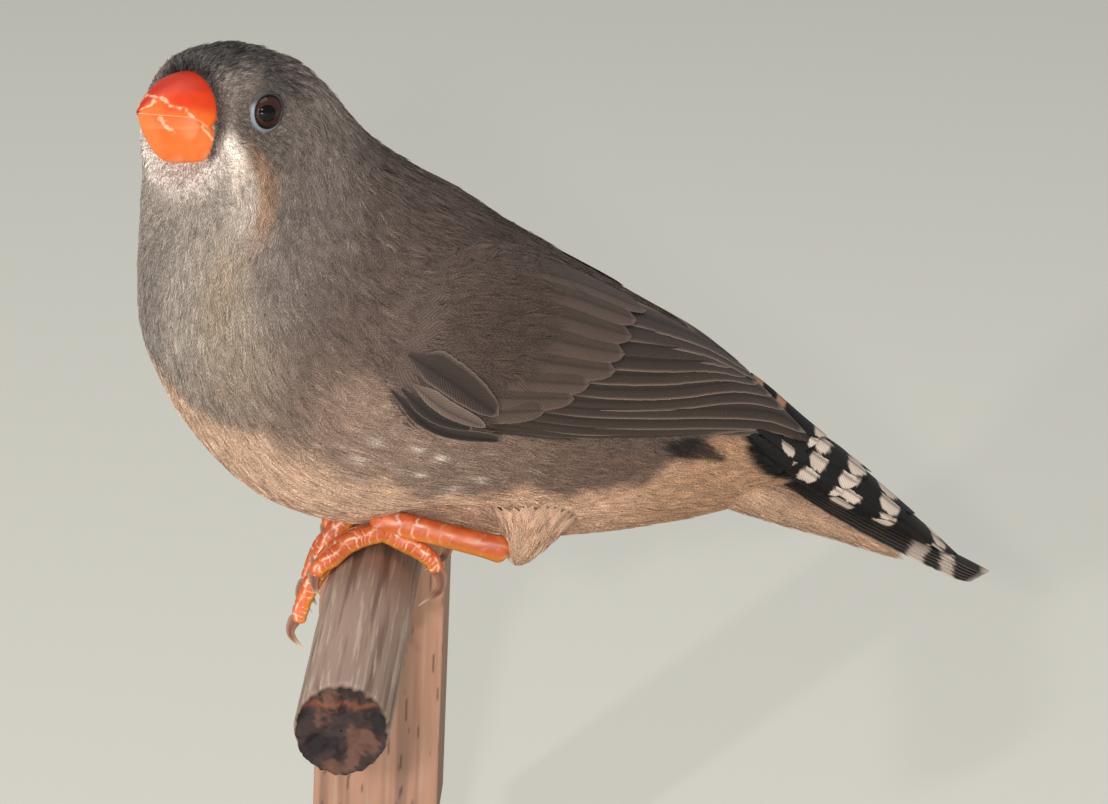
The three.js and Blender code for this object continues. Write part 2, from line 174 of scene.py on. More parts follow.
def mix(a, b, share):
    share = np.asarray(share, float)[..., None]
    return np.asarray(a) * (1 - share) + np.asarray(b) * share


def painted(made, *layers):
    """Colours laid over one another, each with its share."""
    for tint, share in layers:
        made = mix(made, tint, share)
    return made


def bump(x):
    return np.exp(-np.square(x))


def between(x, pairs):
    """A value read from pairs of a place and the value there."""
    return np.interp(x, *zip(*pairs))


def stacked(*coordinates):
    return np.stack(np.broadcast_arrays(*coordinates), -1)


def ring_angles(count):
    """Even angles round a closed ring, in radians."""
    return np.linspace(0, 2 * math.pi, count, endpoint=False)[None]


def signed(angle):
    """An angle in degrees, from -180 to 180."""
    return (np.asarray(angle, float) + 180) % 360 - 180


def side_of(angle):
    """How far an angle is from the back or the upper side, on either hand."""
    return np.abs(signed(angle))


def colour(red, green, blue):
    """A linear colour from one on the usual scale of 0 to 255."""
    c = np.array([red, green, blue]) / 255
    return np.where(c <= 0.04045, c / 12.92, ((c + 0.055) / 1.055) ** 2.4)


def mottle(points, size, seed):
    """Smooth random values around 0, for points in millimetres, with patches of about that size."""
    rng = np.random.default_rng(seed)
    waves = rng.normal(0, 1.0, (16, 3)) * (2.2 / size)
    phases = rng.uniform(0, 2 * math.pi, 16)
    return np.sin(np.asarray(points) @ waves.T + phases).sum(-1) / 4.6


def catmull(table, u):
    """A smooth curve through the rows of a table, at each place u counted in rows."""
    u = np.asarray(u, float)
    i = np.clip(np.floor(u).astype(int), 0, len(table) - 2)
    t = (u - i)[..., None]
    ends = np.vstack([2 * table[0] - table[1], table, 2 * table[-1] - table[-2]])
    a, b, c, d = ends[i], ends[i + 1], ends[i + 2], ends[i + 3]
    return 0.5 * (2 * b + (c - a) * t + (2 * a - 5 * b + 4 * c - d) * t**2 + (3 * b - a - 3 * c + d) * t**3)


def turned(points, degrees):
    a = math.radians(degrees)
    x, y, z = np.moveaxis(np.asarray(points, float), -1, 0)
    return np.stack([x * math.cos(a) - y * math.sin(a), x * math.sin(a) + y * math.cos(a), z], -1)


def from_bird(points):
    return turned(points, BIRD_HEADING) + (PERCH_X + BIRD_ACROSS, 0, PERCH_HEIGHT + BIRD_RISE)


def from_perch(points):
    return np.asarray(points, float) + (PERCH_X, 0, PERCH_HEIGHT)


# The bird's surfaces

def twist(points, share):
    a = np.radians(HEAD_TURN) * share
    x = points[..., 0] - NECK_AXIS
    y = points[..., 1]
    moved_x = NECK_AXIS + x * np.cos(a) - y * np.sin(a)
    return np.stack([moved_x, x * np.sin(a) + y * np.cos(a), points[..., 2]], -1)


def head_point(forward, left, up):
    forward, left, up = np.broadcast_arrays(forward, left, up)
    return twist(np.stack([NECK_AXIS - forward, -left, up], -1).astype(float), 1.0)


def eye_frame(side):
    """The eye's centre, and its axes outwards, forward and up."""
    centre = head_point(EYE["forward"], side * EYE["side"], EYE["up"])
    toe = math.radians(EYE_TOE)
    out = head_point(EYE["forward"] + math.sin(toe), side * (EYE["side"] + math.cos(toe)), EYE["up"]) - centre
    up = np.array([0.0, 0.0, 1.0])
    forward = np.cross(out, up) * side
    return centre, out, forward / np.linalg.norm(forward), up


EYES = {"left": eye_frame(1), "right": eye_frame(-1)}
SIDES = {"left": 1, "right": -1}
EYE_HIDDEN = 0.42
EYE_RIM = 1.2
LID_RADIUS = 2.3

# The bare ring shows on the side of the eye that is ahead and below: the parts of each, and the range
RING_AHEAD = 0.6
RING_BELOW = 0.8
RING_RANGE = (-0.2, 0.5)


def from_axis(points, centre, out):
    """How far points lie out along an eye's axis, and how far from it."""
    offset = points - centre
    outward = offset @ out
    return outward, np.linalg.norm(offset - outward[..., None] * out, axis=-1)


def ring_shows(points, axes):
    """1 below and in front of an eye, where its bare ring shows, and 0 where feathers cover it."""
    centre, _, forward, up = axes
    offset = points - centre
    ahead, above = offset @ forward, offset @ up
    towards = (RING_AHEAD * ahead - RING_BELOW * above) / np.maximum(np.hypot(ahead, above), 1e-6)
    return smooth(towards, *RING_RANGE)


def around_eyes(points):
    """Levels the face with the rim of each eye."""
    for centre, out, _, _ in EYES.values():
        outward, across = from_axis(points, centre, out)
        share = (1 - smooth(across, 2.5, 5.6)) * smooth(outward, -5.0, -2.5)
        points = points + (share * (EYE_RIM - outward))[..., None] * out
    return points


def body(u, angle, outset=0.0):
    """The body's surface at section u. The angle runs from 0 on the back by 90 on the left side."""
    u, angle, outset = np.broadcast_arrays(np.asarray(u, float), np.asarray(angle, float), outset)
    row = catmull(RINGS, u + 1)
    top = np.stack([row[..., 0], 0 * u, row[..., 1]], -1)
    bottom = np.stack([row[..., 2], 0 * u, row[..., 3]], -1)
    up = top - bottom
    tall = np.linalg.norm(up, axis=-1)
    up = up / tall[..., None]
    a = np.radians(angle)
    p = (top + bottom) / 2 + up * (np.cos(a) * (tall / 2 + outset))[..., None]
    p[..., 1] = -np.sin(a) * (row[..., 4] + outset)
    near = bump((p[..., 0] - HOLLOW["x"]) / HOLLOW["long"])
    near = near * bump((abs(p[..., 1]) - HOLLOW["side"]) / HOLLOW["wide"])
    p[..., 2] += HOLLOW["deep"] * near * np.clip(-2 * np.cos(a), 0, 1)
    return around_eyes(twist(p, row[..., 5]))


WING_STEPS = np.linspace(0, 1, 400)
WING_SECTIONS = catmull(WING, WING_STEPS * (len(WING) - 1))[:, 0]


def wing_place(u, angle):
    """The place along the wing from its wrist, and the place across it from its lower edge."""
    along = np.interp(u, WING_SECTIONS, WING_STEPS)
    row = catmull(WING, along * (len(WING) - 1))
    across = (row[..., 2] - np.abs(angle)) / (row[..., 2] - row[..., 1])
    return along, across


def on_wing(along, across):
    """Section and angle of a place on the wing."""
    row = catmull(WING, np.asarray(along, float) * (len(WING) - 1))
    return row[..., 0], row[..., 2] + (row[..., 1] - row[..., 2]) * across


def wing_height(u, angle):
    """How far the folded wing stands out from the body."""
    along, across = wing_place(u, angle)
    lift = catmull(WING, along * (len(WING) - 1))[..., 3]
    crown = np.sqrt(np.sin(math.pi * np.clip(across, 0, 1)))
    inside = smooth(across, -0.04, 0.02) * (1 - smooth(across, 0.98, 1.04))
    inside = inside * smooth(u, WING[0, 0] - 0.7, WING[0, 0] + 0.4)
    return (WING_RIM + (lift - WING_RIM) * crown) * inside


def wing_surface(side):
    return lambda u, angle: body(u, side * np.asarray(angle), wing_height(u, angle))


def tail_point(along, left, up):
    a = math.radians(TAIL_FALL)
    x = TAIL_ROOT[0] + along * math.cos(a) + up * math.sin(a)
    z = TAIL_ROOT[1] - along * math.sin(a) + up * math.cos(a)
    return stacked(x, -left, z).astype(float)


def bundle(table):
    """The surface of a bundle of tail feathers, by place along the tail and angle round it."""
    def surface(along, angle):
        row = catmull(table, np.interp(along, table[:, 0], np.arange(len(table))))
        a = np.radians(angle)
        tall = (row[..., 2] - row[..., 1]) / 2
        middle = (row[..., 1] + row[..., 2]) / 2
        wide = row[..., 3] + (row[..., 4] - row[..., 3]) * smooth(np.abs(angle), 60, 100)
        return tail_point(np.asarray(along, float), np.sin(a) * wide, middle + np.cos(a) * tall)
    return surface


# Meshes

def flat(array, width):
    return np.asarray(array, float).reshape(-1, width)


def fill(data, field, values, kind=np.float32):
    data.foreach_set(field, np.asarray(values, kind).ravel())


def new_piece(name, points, faces, tint, material, grain, bake):
    """A mesh object from points in millimetres, with a colour for each and, on feathers, its place on one."""
    points = points / 1000
    loops = np.concatenate([f.ravel() for f in faces])
    sizes = np.concatenate([np.full(len(f), f.shape[1]) for f in faces])
    mesh = bpy.data.meshes.new(name)
    mesh.vertices.add(len(points))
    mesh.loops.add(len(loops))
    mesh.polygons.add(len(sizes))
    fill(mesh.vertices, "co", points)
    fill(mesh.loops, "vertex_index", loops, np.int32)
    fill(mesh.polygons, "loop_start", np.concatenate([[0], np.cumsum(sizes)[:-1]]), np.int32)
    fill(mesh.polygons, "use_smooth", np.ones(len(sizes)), bool)
    shown = np.concatenate([np.clip(tint, 0, 1), np.ones((len(points), 1))], 1)
    fill(mesh.attributes.new("Tint", "FLOAT_COLOR", "POINT").data, "color", shown)
    if grain is not None:
        fill(mesh.attributes.new("Grain", "FLOAT_VECTOR", "POINT").data, "vector", grain)
        fill(mesh.uv_layers.new(name="OFBake").data, "uv", bake[loops])
    mesh.update(calc_edges=True)
    mesh.validate()
    mesh.materials.append(material)
    piece = bpy.data.objects.new(name, mesh)
    bpy.context.scene.collection.objects.link(piece)
    return piece


def grid_faces(rows, columns, wraps):
    """Quads between the points of a grid, row by row."""
    r = np.arange(rows - 1)[:, None]
    c = np.arange(columns if wraps else columns - 1)[None, :]
    after = (c + 1) % columns
    corners = [r * columns + c, r * columns + after, (r + 1) * columns + after, (r + 1) * columns + c]
    return np.stack(np.broadcast_arrays(*corners), -1).reshape(-1, 4)


class Parts:
    """Gathers grids and strips into one mesh, each moved from its own frame to the model's."""

    def __init__(self, to_model=lambda points: points):
        self.to_model = to_model
        self.points = []
        self.tints = []
        self.grains = []
        self.bakes = []
        self.quads = []
        self.triangles = []
        self.count = 0

    def add(self, points, tint, quads=None, triangles=None, grain=None, bake=None):
        points = flat(self.to_model(points), 3)
        self.points.append(points)
        self.tints.append(np.broadcast_to(flat(tint, 3), points.shape))
        if grain is not None:
            self.grains.append(flat(grain, 3))
            self.bakes.append(flat(bake, 2))
        for group, faces in ((self.quads, quads), (self.triangles, triangles)):
            if faces is not None:
                group.append(faces + self.count)
        self.count += len(points)

    def add_grid(self, points, tint, wraps=False, capped=False, flip=False, grain=None, bake=None):
        rows, columns = points.shape[:2]
        quads = grid_faces(rows, columns, wraps)
        caps = []
        if capped:
            middle = (rows * columns, rows * columns + 1)
            ring = np.arange(columns)
            after = (ring + 1) % columns
            last = (rows - 1) * columns
            caps.append(np.stack([after, ring, np.full(columns, middle[0])], -1))
            caps.append(np.stack([last + ring, last + after, np.full(columns, middle[1])], -1))
            ends = [points[0].mean(0), points[-1].mean(0)]
            tint = np.broadcast_to(tint, points.shape)
            end_tints = [tint[0].mean(0), tint[-1].mean(0)]
            points = np.concatenate([flat(points, 3), ends])
            tint = np.concatenate([flat(tint, 3), end_tints])
        if flip:
            quads = quads[:, ::-1]
            caps = [c[:, ::-1] for c in caps]
        self.add(points, tint, quads, np.concatenate(caps) if caps else None, grain, bake)

    def made(self, name, material, slot, *nodes):
        """Makes one piece of all that was added, and hides the nodes that it replaces. slot is not used."""
        faces = [np.concatenate(group) for group in (self.quads, self.triangles) if group]
        grain = np.concatenate(self.grains) if self.grains else None
        bake = np.concatenate(self.bakes) if self.bakes else None
        points, tint = np.concatenate(self.points), np.concatenate(self.tints)
        piece = new_piece(name, points, faces, tint, material, grain, bake)
        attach(piece, "root")
        if nodes:
            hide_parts(*nodes)


# Materials

class Nodes:
    """A short way to write a material's nodes."""

    def __init__(self, name):
        self.material = bpy.data.materials.new(name)
        self.material.use_nodes = True
        self.tree = self.material.node_tree
        self.shader = self.tree.nodes["Principled BSDF"]

    def node(self, kind, **values):
        made = self.tree.nodes.new(kind)
        for key, value in values.items():
            if hasattr(made, key):
                setattr(made, key, value)
            else:
                made.inputs[key.replace("_", " ")].default_value = value
        return made

    def link(self, source, target):
        self.tree.links.new(source, target)

    def math(self, operation, first, second=None):
        made = self.tree.nodes.new("ShaderNodeMath")
        made.operation = operation
        for socket, value in zip(made.inputs, (first, second)):
            if value is None:
                continue
            if isinstance(value, (int, float)):
                socket.default_value = value
            else:
                self.link(value, socket)
        return made.outputs[0]

    def scaled(self, tint, factor):
        """A colour times a number."""
        made = self.tree.nodes.new("ShaderNodeVectorMath")
        made.operation = "SCALE"
        self.link(tint, made.inputs[0])
        self.link(factor, made.inputs["Scale"])
        return made.outputs[0]

    def tint(self):
        return self.node("ShaderNodeAttribute", attribute_name="Tint").outputs["Color"]

    def noise(self, vector, **values):
        made = self.node("ShaderNodeTexNoise", **values)
        self.link(vector, made.inputs["Vector"])
        return made.outputs["Fac"]

    def stretched_noise(self, stretch, **values):
        """Noise over the object, stretched along an axis where asked."""
        where = self.node("ShaderNodeTexCoord")
        mapped = self.node("ShaderNodeMapping", Scale=stretch)
        self.link(where.outputs["Object"], mapped.inputs["Vector"])
        return self.noise(mapped.outputs["Vector"], **values)

    def bump(self, height, distance):
        made = self.node("ShaderNodeBump", Strength=1.0, Distance=distance)
        self.link(height, made.inputs["Height"])
        self.link(made.outputs["Normal"], self.shader.inputs["Normal"])

    def grained(self, noise, contrast, relief):
        """The mesh's own tint with a noise in colour and relief."""
        factor = self.math("ADD", self.math("MULTIPLY", noise, 2 * contrast), 1.0 - contrast)
        self.link(self.scaled(self.tint(), factor), self.shader.inputs["Base Color"])
        self.bump(noise, relief)

    def set(self, **values):
        for key, value in values.items():
            self.shader.inputs[key.replace("_", " ")].default_value = value


BARB_RELIEF = 0.00002


def feather_material(name, pitch, slant, contrast, roughness, sheen):
    """Barbs run off each shaft at a slant, a pitch apart, as darker and paler lines with a little relief."""
    m = Nodes(name)
    grain = m.node("ShaderNodeAttribute", attribute_name="Grain").outputs["Vector"]
    parts = m.node("ShaderNodeSeparateXYZ")
    m.link(grain, parts.inputs[0])
    off_shaft = m.math("MULTIPLY", m.math("ABSOLUTE", parts.outputs["Y"]), slant)
    phase = m.math("SUBTRACT", parts.outputs["X"], off_shaft)
    patches = m.noise(grain, Scale=0.9, Detail=2.0)
    phase = m.math("ADD", phase, m.math("MULTIPLY", patches, pitch * 1.5))
    wave = m.math("SINE", m.math("MULTIPLY", phase, 2 * math.pi / pitch))
    fine = m.noise(grain, Scale=3.5, Detail=3.0)
    swing = m.math("MULTIPLY", wave, contrast)
    swing = m.math("ADD", swing, m.math("MULTIPLY", fine, contrast * 1.4))
    factor = m.math("ADD", swing, 1.0 - contrast * 0.7)
    m.link(m.scaled(m.tint(), factor), m.shader.inputs["Base Color"])
    m.bump(wave, BARB_RELIEF)
    m.set(Roughness=roughness, Specular_IOR_Level=0.25, Sheen_Weight=sheen, Sheen_Roughness=0.4)
    return m.material


def grainy_material(name, scale, contrast, relief, roughness, shine, stretch=(1, 1, 1), coat=0.0, depth=0.0):
    """The mesh's own tint with a fine noise, under a clear coat or with light inside it where asked."""
    m = Nodes(name)
    m.grained(m.stretched_noise(stretch, Scale=scale, Detail=5.0, Roughness=0.6), contrast, relief)
    m.set(Roughness=roughness, Specular_IOR_Level=shine)
    m.set(Coat_Weight=coat, Coat_Roughness=0.03, Coat_IOR=1.34)
    if depth:
        m.set(Subsurface_Weight=depth, Subsurface_Radius=(1.0, 0.35, 0.15), Subsurface_Scale=0.0006)
    return m.material


def metal_material(name, scale, contrast, relief, roughness, stretch):
    m = Nodes(name)
    m.grained(m.stretched_noise(stretch, Scale=scale, Detail=3.0), contrast, relief)
    m.set(Metallic=1.0, Roughness=roughness)
    return m.material


SOFT = feather_material("soft_plumage", pitch=0.46, slant=1.6, contrast=0.30, roughness=0.75, sheen=0.10)
FIRM = feather_material("flight_feather", pitch=0.42, slant=1.1, contrast=0.14, roughness=0.55, sheen=0.05)
SKIN = grainy_material("skin", 2500, 0.10, 0.00004, 0.42, 0.45, depth=0.08)
HORN_BILL = grainy_material("bill_horn", 900, 0.12, 0.00003, 0.42, 0.30, depth=0.08)
HORN_CLAW = grainy_material("claw_horn", 1500, 0.08, 0.00001, 0.28, 0.5, depth=0.10)
EYE_WET = grainy_material("wet_eye", 3000, 0.06, 0.0, 0.5, 0.0, coat=1.0)
ROUND_WOOD = grainy_material("weathered_wood", 900, 0.16, 0.00006, 0.72, 0.3, stretch=(1, 0.07, 1))
SQUARE_WOOD = grainy_material("plain_wood", 1100, 0.14, 0.00004, 0.62, 0.3, stretch=(1, 1, 0.06))
BASE_WOOD = grainy_material("stained_wood", 600, 0.25, 0.00002, 0.38, 0.5, stretch=(0.05, 1, 1), coat=0.3)
ROD_STEEL = metal_material("brushed_rod", 400.0, 0.1, 0.00001, 0.28, stretch=(1, 1, 30))


# Markings

CROWN = colour(76, 70, 67)
CROWN_DARK = colour(46, 42, 41)
CROWN_STREAK = CROWN_DARK * 0.8
NAPE = colour(132, 119, 110)
BACK = colour(96, 81, 73)
MANTLE = colour(88, 73, 65)
LORES = colour(128, 114, 104)
BROW = colour(146, 132, 121)
CHEEK = colour(115, 103, 95)
NECK_SIDE = colour(118, 105, 97)
SHOULDER = colour(101, 84, 75)
THROAT = colour(230, 214, 202)
CHEST = colour(162, 149, 137)
CHEST_WARM = colour(160, 139, 114)
CHEST_LOW = colour(148, 130, 115)
CHEST_MIDDLE = colour(132, 121, 113)
FLANK_FRONT = colour(152, 127, 110)
FLANK_REAR = colour(116, 93, 80)
BELLY = colour(214, 178, 150)
BELLY_REAR = colour(216, 174, 144)
VENT = colour(190, 148, 116)
CREAM = colour(254, 234, 216)
STREAK_EDGE = colour(206, 154, 112) * 0.66
BLACK = colour(20, 17, 16)
FLANK_PATCH = BLACK * 1.6
WHITE = colour(214, 194, 178)
BUFF = colour(192, 146, 110)
PALE_SPOT = colour(224, 206, 190)

# Edges of the markings: the section where the coat ends, by angle, and then by section the angle of the
# belly's upper edge and of the cream streak, with the streak's width
COAT_END = [(0, 15.6), (30, 15.6), (80, 16.0), (97, 16.35), (115, 16.9), (180, 17.5)]
BELLY_EDGE = [
    (7.9, 178), (8.56, 162), (9.29, 138), (10.34, 130), (11.36, 126), (12.31, 122), (13.3, 116),
    (14.3, 108), (14.9, 96), (15.4, 72),
]
STREAK_MIDDLE = [(0.6, 104), (1.87, 106), (3.58, 119), (5.59, 120), (7.5, 124)]
STREAK_WIDTH = [(1, 8), (3.5, 9), (6, 9)]

# Pale spots on the flank, as section, angle and radius in millimetres
FLANK_SPOTS = [
    (10.55, 109.5, 0.9), (11.40, 109.5, 0.8), (11.05, 107.8, 0.7), (10.47, 118, 1.0), (11.97, 115.8, 0.9),
    (11.70, 122, 0.9), (11.25, 117.5, 0.7), (10.93, 118, 0.6), (10.15, 116, 0.6), (12.6, 108, 0.5),
]


def coat_end(side):
    """The section where the coat gives way to the black feathers at the root of the tail."""
    return between(side, COAT_END)


def plumage(u, angle):
    """The coat's colour at each place on the body."""
    side = side_of(angle)
    points = body(u, angle)
    wander = mottle(points, 5.0, 3)

    crown_streaks = smooth(mottle(points * (0.35, 1.5, 0.8), 1.3, 17), 0.15, 0.9) * (1 - smooth(u, 4.0, 6.0))
    top = painted(CROWN, (NAPE, smooth(u, 3, 5.5)), (BACK, smooth(u, 6, 9)), (MANTLE, smooth(u, 9, 12)),
                  (CROWN_STREAK, 0.75 * crown_streaks))
    flank = painted(LORES, (CHEEK, smooth(u, 1.2, 3.2)), (NECK_SIDE, smooth(u, 4.5, 6.5)),
                    (SHOULDER, smooth(u, 7.5, 9.8)))
    low = painted(THROAT, (CHEST, smooth(u, 1.2, 3.6)), (CHEST_LOW, smooth(u, 7.8, 9.0)))
    front = smooth(side + wander * 5, 92, 134) * (1 - smooth(u, 8.8, 9.8))
    warm = bump((side - 128) / 13) * bump((u - 7.2) / 1.5)
    chest_middle = smooth(side, 154, 174) * smooth(u, 3.5, 5.5) * (1 - smooth(u, 7.5, 9.0))
    made = painted(top, (flank, smooth(side + wander * 6, 28, 78)), (low, front), (CHEST_WARM, 0.75 * warm),
                   (CHEST_MIDDLE, 0.6 * chest_middle))

    under_wing = smooth(u, 8.9, 10.2) * smooth(side, 84, 100)
    edge = between(u, BELLY_EDGE)
    below = smooth(side - edge + wander * 4, -7, 6)
    made = painted(made, (mix(FLANK_FRONT, FLANK_REAR, smooth(u, 10.6, 13.6)), under_wing),
                   (mix(BELLY, BELLY_REAR, smooth(u, 10, 13)), below * smooth(u, 7.9, 8.7)),
                   (VENT, smooth(u, 13.6, 15.0) * smooth(side - edge, -8, 8)))

    middle = between(u, STREAK_MIDDLE)
    streak = bump((side - middle) / between(u, STREAK_WIDTH))
    streak = streak * smooth(u, 0.5, 1.4) * (1 - smooth(u, 5.0, 7.2))
    orange = bump((side - (middle - 14)) / 8.0) * smooth(u, 2.2, 3.6) * (1 - smooth(u, 5.8, 7.4))
    cream = CREAM * (1 - 0.48 * smooth(u, 2.2, 4.6))[..., None]
    brow = bump((side - 48) / 14) * bump((u - 1.5) / 1.0)
    rim = bump((u - 0.1) / 0.33) * (1 - smooth(side, 128, 150))
    corner = bump((u - 0.45) / 0.42) * bump((side - 126) / 9)
    made = painted(made, (STREAK_EDGE, 0.62 * orange),
                   (cream, np.clip(1.1 * streak * (0.9 + 0.25 * wander), 0, 1)),
                   (BROW, 0.6 * brow), (CROWN_DARK, 0.65 * rim), (CROWN_DARK, 0.85 * corner))

    patch = bump((u - 14.98) / 0.5) * bump((side - 88) / 6.5) + 0.14 * mottle(points * (0.4, 1, 1.3), 0.9, 19)
    rump = smooth(u, 15.0, 15.9) * (1 - smooth(side, 36, 50))
    bars = smooth(np.sin((u - 15.4) * 5.2), 0.35, 0.6) * smooth(side, 4, 12)
    made = painted(made, (FLANK_PATCH, 0.9 * smooth(patch, 0.28, 0.5)),
                   (BLACK, smooth(u - coat_end(side), -0.12, 0.02) * smooth(side, 20, 40)),
                   (mix(BLACK, BUFF, bars), rump))
    for at, turn, radius in FLANK_SPOTS:
        near = np.linalg.norm(points - body(at, np.sign(angle + 1e-9) * turn), axis=-1)
        made = mix(made, PALE_SPOT, 0.8 * bump(near / (0.8 * radius)) ** 1.5)
    return made


# Feathers

def metric(surface, x, y, step_x, step_y):
    """How far the surface runs, in millimetres, for one unit of each of its own coordinates."""
    along = (surface(x + step_x, y) - surface(x - step_x, y)) / (2 * step_x)
    across = (surface(x, y + step_y) - surface(x, y - step_y)) / (2 * step_y)
    long = np.linalg.norm(along, axis=-1)
    lean = (across * along).sum(-1) / long
    wide = np.sqrt(np.maximum((across**2).sum(-1) - lean**2, 1e-12))
    return long, lean, wide


def lifted(surface, x, y, level, steps, hand=1):
    """Points at that level over a surface, along its normal. A surface in a mirror has hand -1."""
    x, y = np.broadcast_arrays(np.asarray(x, float), np.asarray(y, float))
    points = surface(x, y)
    along = surface(x + steps[0], y) - points
    across = surface(x, y + steps[1]) - points
    normal = np.cross(across, along) * hand
    normal /= np.maximum(np.linalg.norm(normal, axis=-1), 1e-9)[..., None]
    return points + normal * np.broadcast_to(level, x.shape)[..., None]


def moved(lengths, x, y, along, across):
    """The surface's own coordinates after a short move in millimetres."""
    long, lean, wide = lengths
    dy = across / wide
    return x + (along - dy * lean) / long, y + dy


def scatter(surface, box, density, rng, cells=(120, 160)):
    """Even but irregular places on a surface, as many to a square millimetre as the density says."""
    (x0, x1), (y0, y1) = box
    xs = x0 + (np.arange(cells[0]) + 0.5) * (x1 - x0) / cells[0]
    ys = y0 + (np.arange(cells[1]) + 0.5) * (y1 - y0) / cells[1]
    x, y = np.meshgrid(xs, ys, indexing="ij")
    cell = ((x1 - x0) / cells[0], (y1 - y0) / cells[1])
    long, _, wide = metric(surface, x, y, cell[0] / 2, cell[1] / 2)
    weight = long * wide * cell[0] * cell[1] * density(x, y)
    count = int(weight.sum())
    order = np.arange(1, count + 1)
    first = (order * 0.7548776662) % 1
    second = (order * 0.5698402910) % 1
    by_row = np.concatenate([[0], np.cumsum(weight.sum(1))])
    row_at = np.clip(np.searchsorted(by_row, first * by_row[-1], side="right") - 1, 0, cells[0] - 1)
    row_share = (first * by_row[-1] - by_row[row_at]) / np.maximum(weight.sum(1)[row_at], 1e-12)
    running = np.cumsum(weight, 1)
    flat_run = (running + by_row[:-1, None]).ravel()
    wanted = by_row[row_at] + second * running[:, -1][row_at]
    row_start = row_at * cells[1]
    at = np.clip(np.searchsorted(flat_run, wanted, side="right"), row_start, row_start + cells[1] - 1)
    column = at - row_start
    column_share = 1 - np.clip((flat_run[at] - wanted) / np.maximum(weight.ravel()[at], 1e-12), 0, 1)
    wobble = rng.uniform(-0.25, 0.25, (2, count))
    gx = x0 + (row_at + row_share) * cell[0] + wobble[0] * cell[0]
    gy = y0 + (column + column_share) * cell[1] + wobble[1] * cell[1]
    return gx, gy


def tuft(fingers):
    """A soft feather's pattern: a short vane whose outer half is loose barbs. Gives places and triangles."""
    across = [0.0, -0.55, 0.0, 0.55]
    along = [0.0, 0.2, 0.24, 0.2]
    edge = np.linspace(-1, 1, fingers + 1)
    across += list(edge)
    along += list(0.44 - 0.14 * edge**2)
    first = 4
    finger = np.full(4 + fingers + 1, -1)
    triangles = [(0, 1, 2), (0, 2, 3)]
    for i in range(fingers):
        middle = (edge[i] + edge[i + 1]) / 2
        base = 1 if middle < -0.3 else (3 if middle > 0.3 else 2)
        triangles.append((base, first + i, first + i + 1))
    for i in range(fingers):
        if i and (edge[i - 1] + edge[i]) / 2 < -0.3 <= (edge[i] + edge[i + 1]) / 2:
            triangles.append((1, first + i, 2))
        if i and (edge[i - 1] + edge[i]) / 2 <= 0.3 < (edge[i] + edge[i + 1]) / 2:
            triangles.append((2, first + i, 3))
    for i in range(fingers):
        middle = (edge[i] + edge[i + 1]) / 2
        half = (edge[i + 1] - edge[i]) / 2
        reach = 1.0 - 0.3 * middle**2
        start = len(across)
        across += [middle * 1.02 - half * 0.55, middle * 1.02 + half * 0.55, middle * 0.98]
        along += [0.18 + reach * 0.52, 0.18 + reach * 0.52, reach]
        finger = np.concatenate([finger, [i, i, i]])
        a, b = first + i, first + i + 1
        triangles += [(a, b, start), (b, start + 1, start), (start, start + 1, start + 2)]
    across, along, triangles = np.array(across), np.array(along), np.array(triangles)
    a, b, c = triangles.T
    area = (across[b] - across[a]) * (along[c] - along[a]) - (across[c] - across[a]) * (along[b] - along[a])
    triangles[area < 0] = triangles[area < 0][:, ::-1]
    return {"across": across, "along": along, "finger": finger, "triangles": triangles}


BAKE_PATCH = 0.003


